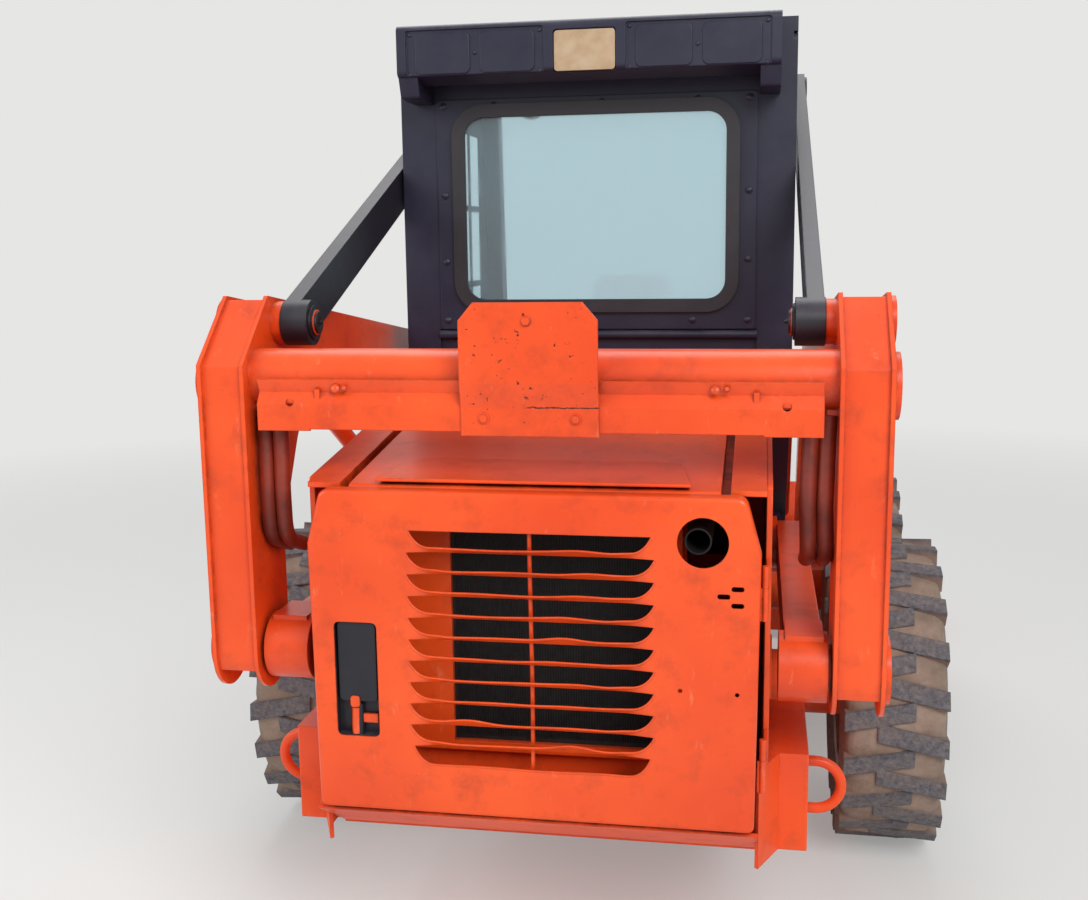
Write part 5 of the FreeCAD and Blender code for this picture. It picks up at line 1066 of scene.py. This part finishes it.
class LOADER_OT_stage(bpy.types.Operator):
    """Plain pale floor, soft lamps, and a camera at the photograph's place"""

    bl_idname = "loader.stage"
    bl_label = "Stage, lamps and camera"

    def execute(self, context):
        scene = context.scene
        stage = scene.loader_stage
        mesh = bpy.data.meshes.new("studio_floor")
        reach = 60
        mesh.from_pydata([(-reach, -reach, 0), (reach, -reach, 0), (reach, reach, 0), (-reach, reach, 0)], [],
                         [(0, 1, 2, 3)])
        floor = bpy.data.objects.new("studio_floor", mesh)
        scene.collection.objects.link(floor)
        made = bpy.data.materials.new("Studio Floor")
        made.use_nodes = True
        tree = made.node_tree
        tree.nodes.clear()
        # the floor glows in its own colour with distance, so that it meets the background without a line
        place = add(tree, "ShaderNodeTexCoord").outputs["Object"]
        away = add(tree, "ShaderNodeVectorMath", {0: place}, operation="LENGTH").outputs["Value"]
        path = add(tree, "ShaderNodeLightPath").outputs
        seen = add(tree, "ShaderNodeMath", {0: path["Is Camera Ray"], 1: path["Is Glossy Ray"]}, operation="MAXIMUM")
        seen = add(tree, "ShaderNodeMath", {0: seen.outputs[0], 1: path["Is Transmission Ray"]}, operation="MAXIMUM")
        spread = add(tree, "ShaderNodeMapRange", {0: away, 1: 1.6, 2: 7.0, 3: 0.35, 4: 1.0}).outputs[0]
        glow = add(tree, "ShaderNodeMath", {0: spread, 1: seen.outputs[0]}, operation="MULTIPLY").outputs[0]
        pale = add(tree, "ShaderNodeBsdfDiffuse", {"Color": tuple(stage.floor)})
        bright = add(tree, "ShaderNodeEmission", {"Color": tuple(stage.floor), "Strength": 1.0})
        mixed = add(tree, "ShaderNodeMixShader", {0: glow, 1: pale.outputs[0], 2: bright.outputs[0]})
        add(tree, "ShaderNodeOutputMaterial", {"Surface": mixed.outputs[0]})
        mesh.materials.append(made)

        world = bpy.data.worlds.new("Studio")
        scene.world = world
        world.use_nodes = True
        tree = world.node_tree
        tree.nodes.clear()
        path = add(tree, "ShaderNodeLightPath")
        seen = add(tree, "ShaderNodeMath", {0: path.outputs["Is Camera Ray"], 1: path.outputs["Is Glossy Ray"]},
                   operation="MAXIMUM")
        through = add(tree, "ShaderNodeMath", {0: seen.outputs[0], 1: path.outputs["Is Transmission Ray"]},
                      operation="MAXIMUM")
        strength = add(tree, "ShaderNodeMath", {0: through.outputs[0], 1: 0.55, 2: 0.45}, operation="MULTIPLY_ADD")
        tint = add(tree, "ShaderNodeMix", {0: through.outputs[0], 6: (0.94, 0.97, 1.0, 1.0), 7: tuple(stage.floor)},
                   data_type="RGBA")
        sky = add(tree, "ShaderNodeBackground", {"Color": tint.outputs[2], "Strength": strength.outputs[0]})
        add(tree, "ShaderNodeOutputWorld", {"Surface": sky.outputs[0]})

        aim = at(0, 500, 1000)
        for name, spot, size, power in (("key_lamp", at(2600, -3600, 4200), 3.2, stage.key),
                                        ("fill_lamp", at(-4200, -2200, 3000), 3.6, stage.fill),
                                        ("top_lamp", at(-400, 2600, 5200), 4.0, stage.fill)):
            lamp = bpy.data.lights.new(name, "AREA")
            lamp.shape = "DISK"
            lamp.size = size
            lamp.energy = power
            holder = bpy.data.objects.new(name, lamp)
            scene.collection.objects.link(holder)
            holder.location = spot
            holder.rotation_euler = (aim - spot).to_track_quat("-Z", "Y").to_euler()

        yaw, pitch, roll = math.radians(9.954), math.radians(9.454), math.radians(-0.737)
        ahead = Vector((-math.sin(yaw) * math.cos(pitch), math.cos(yaw) * math.cos(pitch), -math.sin(pitch)))
        right = Vector((math.cos(yaw), math.sin(yaw), 0))
        up = right.cross(ahead)
        right, up = (right * math.cos(roll) + up * math.sin(roll), up * math.cos(roll) - right * math.sin(roll))
        lens = bpy.data.cameras.new("photo_camera")
        lens.sensor_width = 36
        lens.lens = 40.86
        lens.clip_end = 200
        camera = bpy.data.objects.new("photo_camera", lens)
        scene.collection.objects.link(camera)
        turn = Matrix((right, up, -ahead)).transposed().to_4x4()
        camera.matrix_world = Matrix.Translation(at(402, -2099, 1518.5)) @ turn
        scene.camera = camera
        scene.view_settings.view_transform = "Standard"
        return {"FINISHED"}


class LOADER_PT_panel(bpy.types.Panel):
    bl_idname = "LOADER_PT_panel"
    bl_label = "Skid steer loader"
    bl_space_type = "VIEW_3D"
    bl_region_type = "UI"
    bl_category = "Loader"

    def draw(self, context):
        scene = context.scene
        for group in (scene.loader_paint, scene.loader_hardware, scene.loader_stage):
            for name in group.__annotations__:
                self.layout.prop(group, name)
        for operator in OPERATORS:
            self.layout.operator(operator.bl_idname)


OPERATORS = (
    LOADER_OT_paint_nodes,
    LOADER_OT_stage,
    LOADER_OT_cab_screws,
    LOADER_OT_boom_bolts,
    LOADER_OT_louvred_door,
    LOADER_OT_door_latch,
    LOADER_OT_pin_ends,
    LOADER_OT_channel_plugs,
    LOADER_OT_radiator_fins,
    LOADER_OT_padded_seat,
    LOADER_OT_dried_mud,
    LOADER_OT_wheel_nuts,
    LOADER_OT_lamp_covers,
)
GROUPS = (LoaderPaint, LoaderHardware, LoaderStage)


def register():
    for item in (*GROUPS, *OPERATORS, LOADER_PT_panel):
        bpy.utils.register_class(item)
    bpy.types.Scene.loader_paint = bpy.props.PointerProperty(type=LoaderPaint)
    bpy.types.Scene.loader_hardware = bpy.props.PointerProperty(type=LoaderHardware)
    bpy.types.Scene.loader_stage = bpy.props.PointerProperty(type=LoaderStage)


def unregister():
    del bpy.types.Scene.loader_stage
    del bpy.types.Scene.loader_hardware
    del bpy.types.Scene.loader_paint
    for item in reversed((*GROUPS, *OPERATORS, LOADER_PT_panel)):
        bpy.utils.unregister_class(item)


def main():
    """Makes every piece in order."""
    register()
    for operator in OPERATORS:
        group, name = operator.bl_idname.split(".")
        getattr(getattr(bpy.ops, group), name)()


if __name__ == "__main__":
    main()
